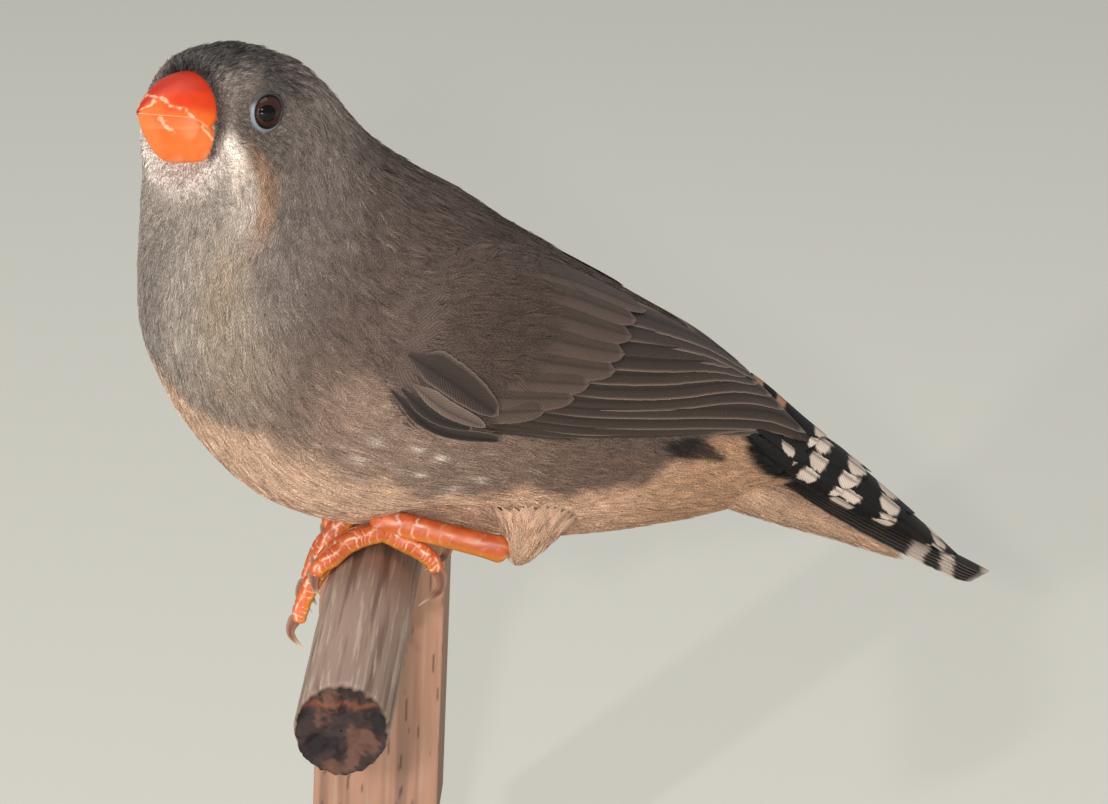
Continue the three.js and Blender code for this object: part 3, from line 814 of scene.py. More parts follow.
def soft_feathers(parts, surface, places, spec, shade, rng, bake_at, steps=(0.02, 0.6), hand=1):
    """Lays soft feathers on a surface. spec holds their sizes, heading and levels, for all or for each."""
    x, y = places
    count = len(x)
    pattern = tuft(spec["fingers"])
    lengths = [v[:, None] for v in metric(surface, x, y, *steps)]
    long = (spec["length"] * rng.uniform(0.85, 1.2, count))[:, None]
    wide = (spec["width"] * rng.uniform(0.85, 1.15, count))[:, None]
    heading = np.radians(spec["heading"] + rng.normal(0, spec["stray"], count))[:, None]
    loose = pattern["finger"] >= 0
    tip = pattern["along"] > 0.9 * (1.0 - 0.3 * pattern["across"] ** 2)
    ragged = np.where(tip & loose, rng.normal(0, 0.10, (count, len(tip))), 0)
    along = (pattern["along"] + ragged) * long
    fan = 1 + 0.12 * pattern["along"] ** 2
    across = (pattern["across"] * fan + rng.normal(0, 0.05, (count, len(tip))) * loose) * wide
    across = across + rng.normal(0, 0.12, (count, 1)) * long * pattern["along"] ** 2
    ca, sa = np.cos(heading), np.sin(heading)
    px, py = moved(lengths, x[:, None], y[:, None], along * ca - across * sa, along * sa + across * ca)
    share = np.clip(pattern["along"], 0, 1)
    low = np.broadcast_to(spec["root"], count)[:, None]
    lift = np.broadcast_to(spec["lift"], count)[:, None]
    high = np.broadcast_to(spec["tip"], count)[:, None] + lift * rng.normal(0, 1, (count, 1))
    level = low + (high - low) * share**0.8 - 0.16 * wide * pattern["across"] ** 2
    level = level + rng.normal(0, 0.03, (count, len(tip))) * loose
    points = lifted(surface, px, py, level, steps, hand)
    tint = shade(px, py, points)
    uneven = np.broadcast_to(spec["uneven"], count)[:, None]
    each = 1 + uneven * rng.normal(0, 1, (count, 1))
    strand = np.ones((count, len(tip)))
    by_finger = 1 + uneven * 1.5 * rng.normal(0, 1, (count, spec["fingers"]))
    strand[:, loose] = by_finger[:, pattern["finger"][loose]]
    shadow = 0.80 + 0.20 * smooth(pattern["along"], 0.15, 0.6)
    tint = tint * (each * strand * shadow)[..., None]
    grain = stacked(along, across, rng.uniform(0, 90, (count, 1)))
    u0, v0 = bake_at(x, y)
    bake_u = u0[:, None] + (share - 0.5) * BAKE_PATCH
    bake = np.stack([bake_u, v0[:, None] + pattern["across"] * BAKE_PATCH / 2], -1)
    faces = pattern["triangles"][None] + (np.arange(count) * len(tip))[:, None, None]
    faces = faces.reshape(-1, 3)[:, ::hand]
    parts.add(points, tint, triangles=faces, grain=grain, bake=np.clip(bake, 0.0005, 0.9995))


def firm_feather(parts, surface, path, half, levels, shade, rng, cell, *, rows, columns, round_from, narrow,
                 notch, arch, rachis=0.0, steps=(0.02, 0.6), hand=1):
    """One vaned feather along a path of surface coordinates. cell is its own part of the bake map."""
    t = np.linspace(0, 1, rows)
    route = catmull(np.asarray(path, float), t * (len(path) - 1))
    cx, cy = route[:, 0], route[:, 1]
    lengths = metric(surface, cx, cy, *steps)
    dx, dy = np.gradient(cx), np.gradient(cy)
    run = dx * lengths[0] + dy * lengths[1]
    cross = dy * lengths[2]
    size = np.hypot(run, cross)
    run, cross = (run / size)[:, None], (cross / size)[:, None]
    distance = np.concatenate([[0], np.cumsum((size[1:] + size[:-1]) / 2)])[:, None]
    even = np.linspace(-1, 1, columns)
    w = (np.sign(even) * np.abs(even) ** 0.85)[None]
    shape = narrow + (1 - narrow) * smooth(t, 0, 0.35)
    shape = shape * np.sqrt(np.clip(1 - (np.clip(t - round_from, 0, 1) / (1 - round_from)) ** 2.2, 0.0004, 1))
    ragged = [1 + rng.normal(0, notch, rows) * smooth(t, 0.1, 0.4) for _ in range(2)]
    left = half * shape * (1 + rachis) * ragged[0]
    right = half * shape * (1 - rachis) * ragged[1]
    across = np.where(w < 0, w * left[:, None], w * right[:, None])
    t = t[:, None]
    lag = -0.22 * np.abs(across) * smooth(t, 0.0, 0.5)
    lengths = [v[:, None] for v in lengths]
    x, y = moved(lengths, cx[:, None], cy[:, None], lag * run - across * cross, lag * cross + across * run)
    ridge = 0.04 * bump(w / 0.09) * (1 - 0.6 * t)
    level = levels[0] + (levels[1] - levels[0]) * t + ridge - arch * w**2 * half * 0.6
    points = lifted(surface, x, y, level, steps, hand)
    tint = shade(t, w, distance + lag, across)
    tint = np.broadcast_to(tint, points.shape) * rng.normal(1.0, 0.04)
    tint = tint * (1 - 0.35 * bump(w / 0.07)[..., None])
    grain = stacked(distance + lag, across, rng.uniform(0, 90))
    (u0, v0), (du, dv) = cell
    bake = stacked(u0 + du * (0.05 + 0.9 * t), v0 + dv * (0.5 + 0.45 * w))
    parts.add_grid(points, tint, flip=hand < 0, grain=grain, bake=bake)


# The make of each kind of firm feather: points along and across it, where its end begins to round, the
# width of its base as a share of the whole, how ragged its edges are, and its arch
FLIGHT = {"rows": 44, "columns": 13, "round_from": 0.86, "narrow": 0.7, "notch": 0.015, "arch": 0.03}
GREATER = {"rows": 40, "columns": 15, "round_from": 0.62, "narrow": 0.45, "notch": 0.02, "arch": 0.03}
BASTARD = {"rows": 44, "columns": 15, "round_from": 0.5, "narrow": 0.12, "notch": 0.015, "arch": 0.03}
BARRED = {"rows": 46, "columns": 13, "round_from": 0.80, "narrow": 0.7, "notch": 0.03, "arch": 0.05}
TAIL = {"rows": 60, "columns": 11, "round_from": 0.90, "narrow": 0.6, "notch": 0.02, "arch": 0.06}


def cells(count):
    """Equal parts of the bake map, one for each feather of a piece."""
    across = int(math.ceil(math.sqrt(count / 3)))
    down = int(math.ceil(count / across))
    return [(((i % across) / across, (i // across) / down), (1 / across, 1 / down)) for i in range(count)]


def eye_distance(points):
    """How far each point is from the nearer eye's axis, more where feathers cover the bare ring."""
    nearest = np.full(points.shape[:-1], 99.0)
    for axes in EYES.values():
        outward, across = from_axis(points, axes[0], axes[1])
        across = across + EYE_HIDDEN * (1 - ring_shows(points, axes))
        nearest = np.where(outward > -1.5, np.minimum(nearest, across), nearest)
    return nearest


def body_bake(u, angle):
    return 0.01 + 0.98 * u / LAST, 0.01 + 0.98 * ((angle + 180) % 360) / 360


def box_bake(low, high):
    """The bake map of a piece that has coordinates of its own, from low to high and all the way round."""
    return lambda x, y: (0.02 + 0.96 * (x - low) / (high - low), 0.02 + 0.96 * (y + 180) / 360)


def over_wing(u, angle):
    """The coat's surface where the breast's and back's feathers lie over the root of the wing."""
    side = side_of(angle)
    rides = 1 - smooth(u, 13.2, 14.2) * smooth(side, 12, 30)
    rides = rides * (1 - smooth(side, 62, 70) * smooth(u, 11.2, 12.0))
    return body(u, angle, wing_height(u, side) * rides)


def coat_depth(u):
    return 0.34 + 0.16 * smooth(u, 2.5, 9.0)


def not_in_wing(u, angle):
    """1 where the coat's feathers grow, and 0 under the wing's own feathers."""
    along, across = wing_place(u, side_of(angle))
    alula = (along > 0.12) & (along < 0.36)
    inside = (across > np.where(alula, -0.03, 0.14)) & (across < 0.86) & (along > 0.06) & (along < 0.985)
    front = (along < 0.16) & (across > np.where(alula, 0.3, 0.05))
    return np.where(inside & ~front, 0.0, 1.0)


def coat(name, sections, spacing, length, width, fingers, seed, rows, stray, uneven):
    """Soft feathers over a range of sections. spacing and width are a start and a gain by section."""
    rng = np.random.default_rng(seed)

    def density(u, angle):
        apart = spacing[0] + spacing[1] * u
        clear = smooth(eye_distance(body(u, angle)), LID_RADIUS - 0.1, LID_RADIUS + 0.1)
        return not_in_wing(u, angle) * clear * (u < coat_end(side_of(angle)) - 0.2) / apart**2

    u, angle = scatter(over_wing, (sections, (-180, 180)), density, rng, rows)
    side = side_of(angle)
    near_eye = eye_distance(body(u, angle))
    shorter = 0.55 + 0.45 * smooth(near_eye, LID_RADIUS, LID_RADIUS + 2.2)
    around = np.zeros(len(u))
    for centre, out, forward, up in EYES.values():
        offset = body(u, angle) - centre
        off_axis = np.linalg.norm(offset - (offset @ out)[:, None] * out, axis=-1)
        close = bump(off_axis / 3.4) * ((offset @ out) > 0)
        around = around - close * np.clip(offset @ up, -2, 2) * 14 * np.tanh(offset @ forward / 1.5)
    crown = (1 - smooth(side, 30, 62)) * (1 - smooth(u, 4.5, 6.5))
    spec = {
        "fingers": fingers,
        "length": length(u, side) * shorter * (1 + 0.7 * crown),
        "width": (width[0] + width[1] * u) * shorter,
        "heading": around * np.sign(angle + 1e-9),
        "stray": stray,
        "root": 0.05 - coat_depth(u),
        "tip": -0.06 + 0.10 * crown,
        "lift": 0.05 + 0.10 * crown,
        "uneven": uneven + 0.16 * crown,
    }
    parts = Parts(from_bird)
    soft_feathers(parts, over_wing, (u, angle), spec, lambda a, b, p: plumage(a, b), rng, body_bake)
    parts.made(name, SOFT, "body_plumage")


def face_length(u, side):
    return between(u, [(0, 0.75), (1, 0.95), (2.5, 1.35), (4, 1.8)]) * (1 - 0.12 * bump((side - 75) / 25))


def neck_length(u, side):
    return between(u, [(3, 1.8), (5, 2.5), (8, 3.3)])


def trunk_length(u, side):
    return between(u, [(8, 3.4), (10, 4.4), (17, 4.6)]) * (1 + 0.15 * smooth(side, 100, 140))


coat("coat_face", (-0.3, 2.2), (0.30, 0.025), face_length, (0.17, 0.05), 5, SEED + 1, (60, 200), 10.0, 0.17)
coat("coat_head", (2.2, 4.6), (0.38, 0), face_length, (0.36, 0), 7, SEED + 2, (60, 200), 9.0, 0.13)
coat("coat_neck", (4.6, 7.4), (0.58, 0), neck_length, (0.62, 0), 9, SEED + 3, (80, 200), 8.0, 0.10)
coat("coat_breast", (7.4, 10.2), (0.80, 0), trunk_length, (0.85, 0), 10, SEED + 4, (80, 200), 7.0, 0.09)
coat("coat_belly", (10.2, 13.2), (0.82, 0), trunk_length, (0.9, 0), 10, SEED + 5, (80, 200), 7.0, 0.09)
coat("coat_vent", (13.2, 16.8), (0.80, 0), trunk_length, (0.9, 0), 10, SEED + 6, (80, 200), 7.0, 0.09)


# Wings

QUILL = colour(66, 54, 47)
QUILL_DARK = colour(50, 42, 38)
QUILL_OVAL = colour(60, 49, 43)
QUILL_PALE = colour(106, 89, 79)
QUILL_EDGE = colour(156, 136, 122)
COVERT = colour(82, 67, 59)


def quill_shade(base, edge_share, tip_pale=0.3, dark=0.25):
    """A flight feather's colour: dark along the shaft, paler towards its edges, with a thin pale rim."""
    def shade(t, w, along, across):
        made = mix(base * (1 - dark), base, smooth(np.abs(w), 0.05, 0.7) + 0 * t)
        made = mix(made, QUILL_PALE, tip_pale * smooth(t, 0.7, 1.0) * smooth(np.abs(w), 0.1, 0.9))
        rim = np.maximum(smooth(np.abs(w), 0.80, 0.99), smooth(t, 0.955, 0.99)) * smooth(t, 0.08, 0.25)
        return mix(made, QUILL_EDGE, edge_share * rim)
    return shade


def covert_shade(side):
    """A greater covert: its upper vane, which the next one shades, is darker than its lower one."""
    def shade(t, w, along, across):
        lower = smooth(w * side, -0.6, 0.9)
        made = mix(COVERT * 0.78, COVERT * 1.25, lower + 0 * t)
        rim = np.maximum(smooth(w * side, 0.8, 0.98), smooth(t, 0.95, 0.99)) * smooth(t, 0.08, 0.25)
        return mix(made, QUILL_EDGE, 0.22 * rim)
    return shade


def wing_route(*points):
    """A path over the wing from places along and across it, as sections and angles."""
    along, across = np.array(points, float).T
    u, angle = on_wing(along, across)
    beyond = np.clip(along - 1, 0, 1) * 8
    return np.stack([u + beyond, angle], -1)


# Each long feather as its root, middle and tip, in places along and across the wing, and half its width
PRIMARIES = [
    ((0.33, 0.04), (0.70, 0.02), (0.905, 0.10), 1.5),
    ((0.33, 0.07), (0.72, 0.05), (0.955, 0.22), 1.5),
    ((0.33, 0.10), (0.74, 0.09), (0.985, 0.40), 1.5),
    ((0.33, 0.14), (0.75, 0.14), (1.02, 0.60), 1.5),
    ((0.33, 0.18), (0.74, 0.22), (0.985, 0.66), 1.5),
]
SECONDARIES = [
    ((0.40, 0.22), (0.70, 0.27), (0.925, 0.70), 1.6),
    ((0.40, 0.28), (0.69, 0.34), (0.892, 0.76), 1.7),
    ((0.40, 0.34), (0.67, 0.42), (0.856, 0.76), 1.8),
    ((0.42, 0.42), (0.66, 0.50), (0.83, 0.76), 2.0),
]
TERTIALS = [
    ((0.44, 0.50), (0.64, 0.58), (0.80, 0.80), 2.4),
    ((0.45, 0.60), (0.66, 0.70), (0.86, 0.93), 2.6),
    ((0.46, 0.72), (0.66, 0.80), (0.84, 0.97), 2.6),
]
GREATER_COVERTS = [
    ((0.28, 0.12), (0.37, 0.14), (0.452, 0.165), 1.7),
    ((0.26, 0.20), (0.38, 0.21), (0.498, 0.225), 1.9),
    ((0.26, 0.28), (0.40, 0.29), (0.520, 0.295), 2.0),
    ((0.26, 0.37), (0.42, 0.38), (0.564, 0.375), 2.2),
    ((0.28, 0.47), (0.44, 0.48), (0.578, 0.47), 2.4),
    ((0.30, 0.58), (0.46, 0.60), (0.590, 0.58), 2.6),
    ((0.33, 0.70), (0.48, 0.72), (0.600, 0.70), 2.6),
    ((0.36, 0.81), (0.50, 0.83), (0.622, 0.82), 2.3),
]
ALULA = [
    ((0.13, 0.04), (0.27, 0.005), (0.392, 0.015), 1.05, QUILL_DARK),
    ((0.15, 0.10), (0.24, 0.07), (0.330, 0.055), 1.0, QUILL_DARK),
    ((0.16, 0.17), (0.26, 0.12), (0.352, 0.075), 0.95, QUILL_PALE),
    ((0.13, 0.31), (0.25, 0.25), (0.368, 0.135), 2.0, QUILL_OVAL),
]


def wing(name, side):
    """One folded wing: flight feathers below, then greater coverts and the bastard wing."""
    rng = np.random.default_rng(SEED + 40)
    surface = wing_surface(side)

    def lay(piece, layers, *nodes):
        """A layer is its feathers, first level, gain in level, sunk roots, shaft's offset, shade and make."""
        parts = Parts(from_bird)
        rooms = iter(cells(sum(len(layer[0]) for layer in layers)))
        for feathers, level, gain, sunk, offset, shade_of, make in layers:
            for i, (root, middle, tip, half, *base) in enumerate(feathers):
                levels = (level + gain * i - sunk, level + gain * i + 0.12)
                firm_feather(parts, surface, wing_route(root, middle, tip), half, levels, shade_of(*base),
                             rng, next(rooms), rachis=offset * side, hand=side, **make)
        parts.made(f"wing_{name}_{piece}", FIRM, "wing_plumage", *[f"wing_{name}_{node}" for node in nodes])

    def flight_shade():
        return quill_shade(QUILL, 0.75)

    def bastard_shade(base):
        return quill_shade(base, 0.4, 0.1)

    lay("flight_feathers", [
        (PRIMARIES, -0.60, 0.05, 0.1, 0.2, flight_shade, FLIGHT),
        (SECONDARIES, -0.36, 0.05, 0.1, 0.28, flight_shade, FLIGHT),
        (TERTIALS, -0.18, 0.07, 0.1, 0.2, flight_shade, FLIGHT),
    ], "primaries", "secondaries")
    lay("coverts_feathers", [
        (GREATER_COVERTS, -0.12, 0.045, 0.2, 0.15, lambda: covert_shade(side), GREATER),
        (ALULA, 0.14, 0.08, 0.1, 0.25, bastard_shade, BASTARD),
    ], "coverts")


def small_coverts(name, side):
    """Soft small and middle coverts from the wrist back over the roots of the greater coverts."""
    rng = np.random.default_rng(SEED + 50)

    def surface(along, across):
        u, angle = on_wing(along, across)
        return body(u, side * angle, wing_height(u, angle))

    def density(along, across):
        last = 0.34 + 0.10 * across - 0.10 * bump((across - 0.2) / 0.16)
        return ((along < last) & (along > 0.09)) / 0.95**2

    def shade(x, y, points):
        made = painted(SHOULDER, (COVERT, smooth(x, 0.05, 0.3)), (MANTLE, smooth(y, 0.55, 0.95)))
        return made * (1 + 0.06 * mottle(points, 4.0, 12))[..., None]

    def bake_at(x, y):
        u, angle = on_wing(x, y)
        return body_bake(u, side * angle)

    along, across = scatter(surface, ((0.02, 0.48), (0.03, 0.97)), density, rng, (80, 80))
    spec = {
        "fingers": 14, "length": 4.2 + 4.0 * along, "width": 1.15 + 1.0 * along, "heading": -3.0 * side,
        "stray": 4.0, "root": -0.25, "tip": 0.14, "lift": 0.03, "uneven": 0.06,
    }
    parts = Parts(from_bird)
    soft_feathers(parts, surface, (along, across), spec, shade, rng, bake_at, (0.004, 0.004), -side)
    parts.made(f"wing_{name}_small_coverts", SOFT, "wing_plumage")


for build in (wing, small_coverts):
    for name, side in SIDES.items():
        build(name, side)


# Tail

# Places of the white bars along the tail, and their lengths; and of the buff spots on the rump
BARS = [(0.6, 2.0), (4.8, 2.3), (9.9, 2.8), (15.9, 3.2), (23.8, 2.4)]
RUMP_SPOTS = [(-5.4, 1.7), (-1.7, 1.6)]

# Rows of barred coverts as their start, length and level, with the number in a row and how far round it goes
BARRED_ROWS = [(8, 20.2, -1.0), (2, 18.5, -0.7), (-3, 16.5, -0.4), (-6.4, 12, -0.1)]
BARRED_NUMBER = 9
BARRED_ROUND = 165
BARRED_END = 28.2


def barred(start, wander, low, high):
    """Black with a white oval on each feather where a bar crosses it, but for the first bars low and high."""
    def shade(t, w, along, across):
        s = start + along
        made = np.broadcast_to(BLACK, np.broadcast(s, w).shape + (3,))
        ragged = 0.10 * np.sin(across * 17 + wander) + 0.07 * np.sin(s * 11 + wander * 3)
        for i, (middle, width) in enumerate(BARS):
            off = (s - middle - 0.5 * math.sin(wander * 5 + middle)) / (width / 2)
            oval = off**2 + (np.abs(w) / 0.9) ** 3 + ragged
            missed = (low and i < 2) or (high and i < 1)
            cover = (1 - smooth(oval, 0.85, 1.05)) * (0.0 if missed else 0.94)
            made = mix(made, WHITE, cover * (1 - 0.35 * bump(w / 0.06)))
        for middle, width in RUMP_SPOTS if high else []:
            oval = ((s - middle) / (width / 2)) ** 2 + (np.abs(w) / 0.8) ** 4 + ragged
            made = mix(made, BUFF * 0.9, 0.9 * (1 - smooth(oval, 0.8, 1.1)))
        return made
    return shade


def upper_tail():
    rng = np.random.default_rng(SEED + 60)
    surface = bundle(UPPER_COVERTS)
    parts = Parts(from_bird)
    plan = []
    for row, (start, reach, level) in enumerate(BARRED_ROWS):
        for i in range(BARRED_NUMBER):
            angle = -BARRED_ROUND + 2 * BARRED_ROUND * (i + 0.5 * (row % 2)) / (BARRED_NUMBER - 0.5)
            plan.append((start + rng.uniform(-0.4, 0.4), reach, angle, level))
    rooms = iter(cells(len(plan)))
    for start, reach, angle, level in sorted(plan, key=lambda p: (p[3], -abs(p[2]))):
        top = 1 - abs(angle) / BARRED_ROUND
        end = min(start + reach * (0.60 + 0.40 * top), BARRED_END)
        path = [(start, angle), ((start + end) / 2, angle), (end, angle * 0.97)]
        raised = level + 0.30 * top
        shade = barred(start, angle / 40, abs(angle) > 112, abs(angle) < 50)
        firm_feather(parts, surface, path, 2.2, (raised, raised - 0.06), shade, rng, next(rooms),
                     steps=(0.2, 1.0), **BARRED)
    parts.made("tail_coverts_upper_feathers", FIRM, "tail_plumage", "tail_coverts_upper")


def tail_plane(along, left):
    left = np.asarray(left, float)
    return tail_point(np.asarray(along, float), left, -0.08 * left**2)


def tail_shade(order):
    def shade(t, w, along, across):
        s = np.broadcast_to(along, np.broadcast(along, w).shape)
        ragged = 0.2 * np.sin(across * 6 + order)
        spot = bump((s - 22.4 + order * 0.1 + ragged) / 1.1) + bump((s - 26.0 - order * 0.1 + ragged) / 0.9)
        spot = 0.95 * smooth(spot * (1 - 0.5 * bump(w / 0.1)), 0.25, 0.45)
        tip = smooth(t, 0.955, 0.975) * smooth(np.abs(w), -0.2, 0.4)
        rim = smooth(np.abs(w), 0.9, 0.99)
        return painted(BLACK, (WHITE, spot), (WHITE, np.maximum(0.9 * tip, 0.15 * rim)))
    return shade


def tail_feathers():
    """Twelve tail feathers, the middle pair on top."""
    rng = np.random.default_rng(SEED + 61)
    parts = Parts(from_bird)
    rooms = iter(cells(12))
    for i in range(6):
        for side in (1, -1):
            spread = side * (0.3 + 0.36 * i)
            end = TAIL_LENGTH - 0.2 - 0.35 * i - 0.2 * (side < 0)
            path = [(-0.8, spread * 0.4), (end / 2, spread), (end, spread * 0.9)]
            level = 1.50 - 0.16 * i - 0.07 * (side < 0)
            firm_feather(parts, tail_plane, path, 1.75, (level, level), tail_shade(i), rng, next(rooms),
                         rachis=-0.15 * side, steps=(0.2, 0.2), **TAIL)
    parts.made("tail_feathers", FIRM, "tail_plumage", "tail")


UNDER_TAIL = colour(194, 157, 129)


def under_tail():
    rng = np.random.default_rng(SEED + 62)
    surface = bundle(UNDER_COVERTS)

    def density(s, angle):
        return np.full(s.shape, 1 / 0.85**2)

    def shade(x, y, points):
        near_tail = 1 - smooth(np.abs(y) - 1.8 * np.clip(x - 8, 0, 14), 20, 40)
        return painted(UNDER_TAIL, (BLACK, 0.9 * near_tail * smooth(x, -2, 4)),
                       (BUFF, 0.5 * (1 - smooth(x, -6, 3))))

    s, angle = scatter(surface, ((-7.0, 19.0), (-178, 178)), density, rng, (80, 80))
    spec = {
        "fingers": 9, "length": between(s, [(-7, 5.0), (5, 5.6), (19, 2.6)]),
        "width": between(s, [(-7, 0.9), (10, 0.8), (19, 0.45)]), "heading": 0.0, "stray": 6.0,
        "root": -0.8, "tip": -0.08, "lift": 0.05, "uneven": 0.06,
    }
    parts = Parts(from_bird)
    soft_feathers(parts, surface, (s, angle), spec, shade, rng, box_bake(-8, 22), steps=(0.2, 1.0))
    parts.made("tail_coverts_under_feathers", SOFT, "buff_plumage", "tail_coverts_under")


upper_tail()
tail_feathers()
under_tail()


# Tubes for legs, toes and claws

def frames_along(points, count):
    """Evenly spaced points on a smooth path, with directions to its side and over it."""
    points = np.asarray(points, float)
    fine = catmull(points, np.linspace(0, len(points) - 1, 400))
    run = np.concatenate([[0], np.cumsum(np.linalg.norm(np.diff(fine, axis=0), axis=1))])
    at = np.linspace(0, run[-1], count)
    centre = np.stack([np.interp(at, run, fine[:, k]) for k in range(3)], -1)
    along = np.gradient(centre, axis=0)
    along /= np.linalg.norm(along, axis=1)[:, None]
    side = np.array([0.0, 1.0, 0.0]) - along * along[:, 1:2]
    side /= np.linalg.norm(side, axis=1)[:, None]
    over = np.cross(along, side)
    if over[0, 2] < 0:
        over = -over
    return centre, side, over, at


def tube(points, count, sides, radius, flatten=1.0, cap=0.35):
    """A tube's points, and for each its share of the length, angle from the upper side and scale's edge."""
    centre, side, over, at = frames_along(points, count)
    share = (at / at[-1])[:, None]
    angle = np.linspace(0, 360, sides, endpoint=False)[None]
    r, edge = radius(share, angle)
    first = np.clip(1 - at / cap, 0, 1)
    last = np.clip(1 - (at[-1] - at) / cap, 0, 1)
    rounded = np.sqrt((1 - first**2) * (1 - last**2))
    r = (r * np.maximum(rounded, 0.05)[:, None])[..., None]
    a = np.radians(angle)[..., None]
    made = centre[:, None] + side[:, None] * np.sin(a) * r * flatten + over[:, None] * np.cos(a) * r
    return made, share, angle, edge


LEG = colour(210, 104, 52)
LEG_RED = colour(184, 72, 34)
LEG_PALE = colour(250, 214, 188)
LEG_PAD = colour(224, 140, 62)
THIGH = colour(220, 180, 148)
THIGH_SKIN = -0.75


def scales(share, angle, rows, offset, size):
    """How near a scale's edge is: broad shields on the upper side, smaller cells on the flanks."""
    turn = signed(angle)
    place_along = share * rows
    wander = 0.22 * np.sin(place_along * 1.9 + offset * 7) + 0.12 * np.sin(place_along * 4.3 + offset * 3)
    slope = 0.16 * np.sin(np.radians(turn * 1.5) + place_along * 1.3)
    slope = slope + 0.05 * np.sin(np.radians(turn * 6) + offset)
    along = place_along + wander + slope + offset
    ring = np.abs((along % 1) - 0.5)
    flank = np.abs(((along * 1.5 + 0.5) % 1) - 0.5)
    border = size + 10 * np.sin(place_along * 2.2 + offset)
    upper = np.abs(turn) < border
    seam = bump((np.abs(turn) - border) / 6.0)
    edge = np.where(upper, smooth(ring, 0.40, 0.5), smooth(flank, 0.38, 0.5) * (np.abs(turn) < 140))
    return np.maximum(edge, seam), np.where(upper, 1 - (2 * ring) ** 2, 0.5)


def leg_tint(edge, angle, share, points):
    turn = side_of(angle)
    red = 0.6 * smooth(mottle(points, 1.1, 8), -0.5, 0.8) * (1 - smooth(turn, 80, 120))
    pale = np.clip(edge * (0.65 + 0.6 * mottle(points, 0.7, 9)), 0, 0.9)
    return painted(LEG, (LEG_RED, red), (LEG_PAD, smooth(turn + 0 * share, 100, 140)), (LEG_PALE, pale))


def toe(parts, foot, plan):
    y = foot["y"]
    points = [(ANKLE[0], y, ANKLE[1])] + [(x, y + foot["out"] * out, z) for x, z, out in plan["to"]]

    def radius(share, angle):
        base = TOE_RADIUS * (1.14 - 0.24 * share + 0.06 * np.cos(share * math.pi * 6))
        edge, dome = scales(share, angle, plan["scutes"], plan["scutes"] * 0.37, 62)
        base = base * (1 - 0.25 * smooth(share, 0.90, 1.0)) + 0.07 * dome
        turn = side_of(angle)
        pads = 0.10 * smooth(turn, 110, 160) * np.abs(np.sin(share * math.pi * 3.2))
        papillae = 0.03 * smooth(turn, 100, 140) * np.sin(share * 60) * np.sin(np.radians(angle) * 9)
        return base * (1.03 + pads) - 0.11 * edge + papillae, edge

    made, share, angle, edge = tube(points, 130, 36, radius)
    made = from_perch(made)
    parts.add_grid(made, 1.15 * leg_tint(edge, angle, share, made), wraps=True, capped=True)


def tarsus(parts, foot):
    x, y = foot["heel"]
    start = foot["y"]
    points = [
        (ANKLE[0] - 1.3, start, ANKLE[1] + 0.1),
        (ANKLE[0], start, ANKLE[1] + 0.9),
        (3.6, start + (y - start) * 0.15, 3.2),
        (x, y, 0.7),
        (x + 1.5, y, 0.3),
    ]

    def radius(share, angle):
        edge = scales(share, angle, 5.0, 0.3, 70)[0]
        edge = edge * (0.30 + 0.70 * (1 - smooth(share, 0.2, 0.5)))
        base = 1.02 - 0.10 * np.sin(math.pi * share) + 0.12 * smooth(share, 0.8, 1)
        return TARSUS_RADIUS * base - 0.07 * edge, edge

    made, share, angle, edge = tube(points, 150, 40, radius, 0.8, 1.5)
    made = from_perch(made)
    parts.add_grid(made, leg_tint(edge, angle, share, made), wraps=True, capped=True)


CLAW_HORN = colour(184, 142, 116)
CLAW_CORE = colour(96, 34, 34)
CLAW_TIP = colour(222, 196, 168)


def claw_radius(share, angle):
    turn = side_of(angle)
    return (0.86 - 0.80 * share**0.95) * (1 + 0.10 * bump(turn / 30) - 0.12 * bump((turn - 180) / 45)), None


def claws(name, foot):
    parts = Parts()
    for plan in TOES.values():
        before, start = plan["to"][-2:]
        y = foot["y"] + foot["out"] * start[2]
        points = [(0.75 * start[0] + 0.25 * before[0], y, 0.75 * start[1] + 0.25 * before[1])]
        points += [(x, y, z) for x, z in plan["claw"]]
        made, share, angle, _ = tube(points, 60, 28, claw_radius, 0.72)
        core = bump((side_of(angle) - 80) / 44) * (1 - smooth(share, 0.5, 0.9))
        tint = painted(CLAW_HORN, (CLAW_TIP, smooth(share, 0.5, 1) + 0 * angle), (CLAW_CORE, 0.8 * core))
        parts.add_grid(from_perch(made), tint, wraps=True, capped=True)
    parts.made(f"claws_{name}", HORN_CLAW, "claw", *[f"claw_{name}_{which}" for which in TOES])


# Skin

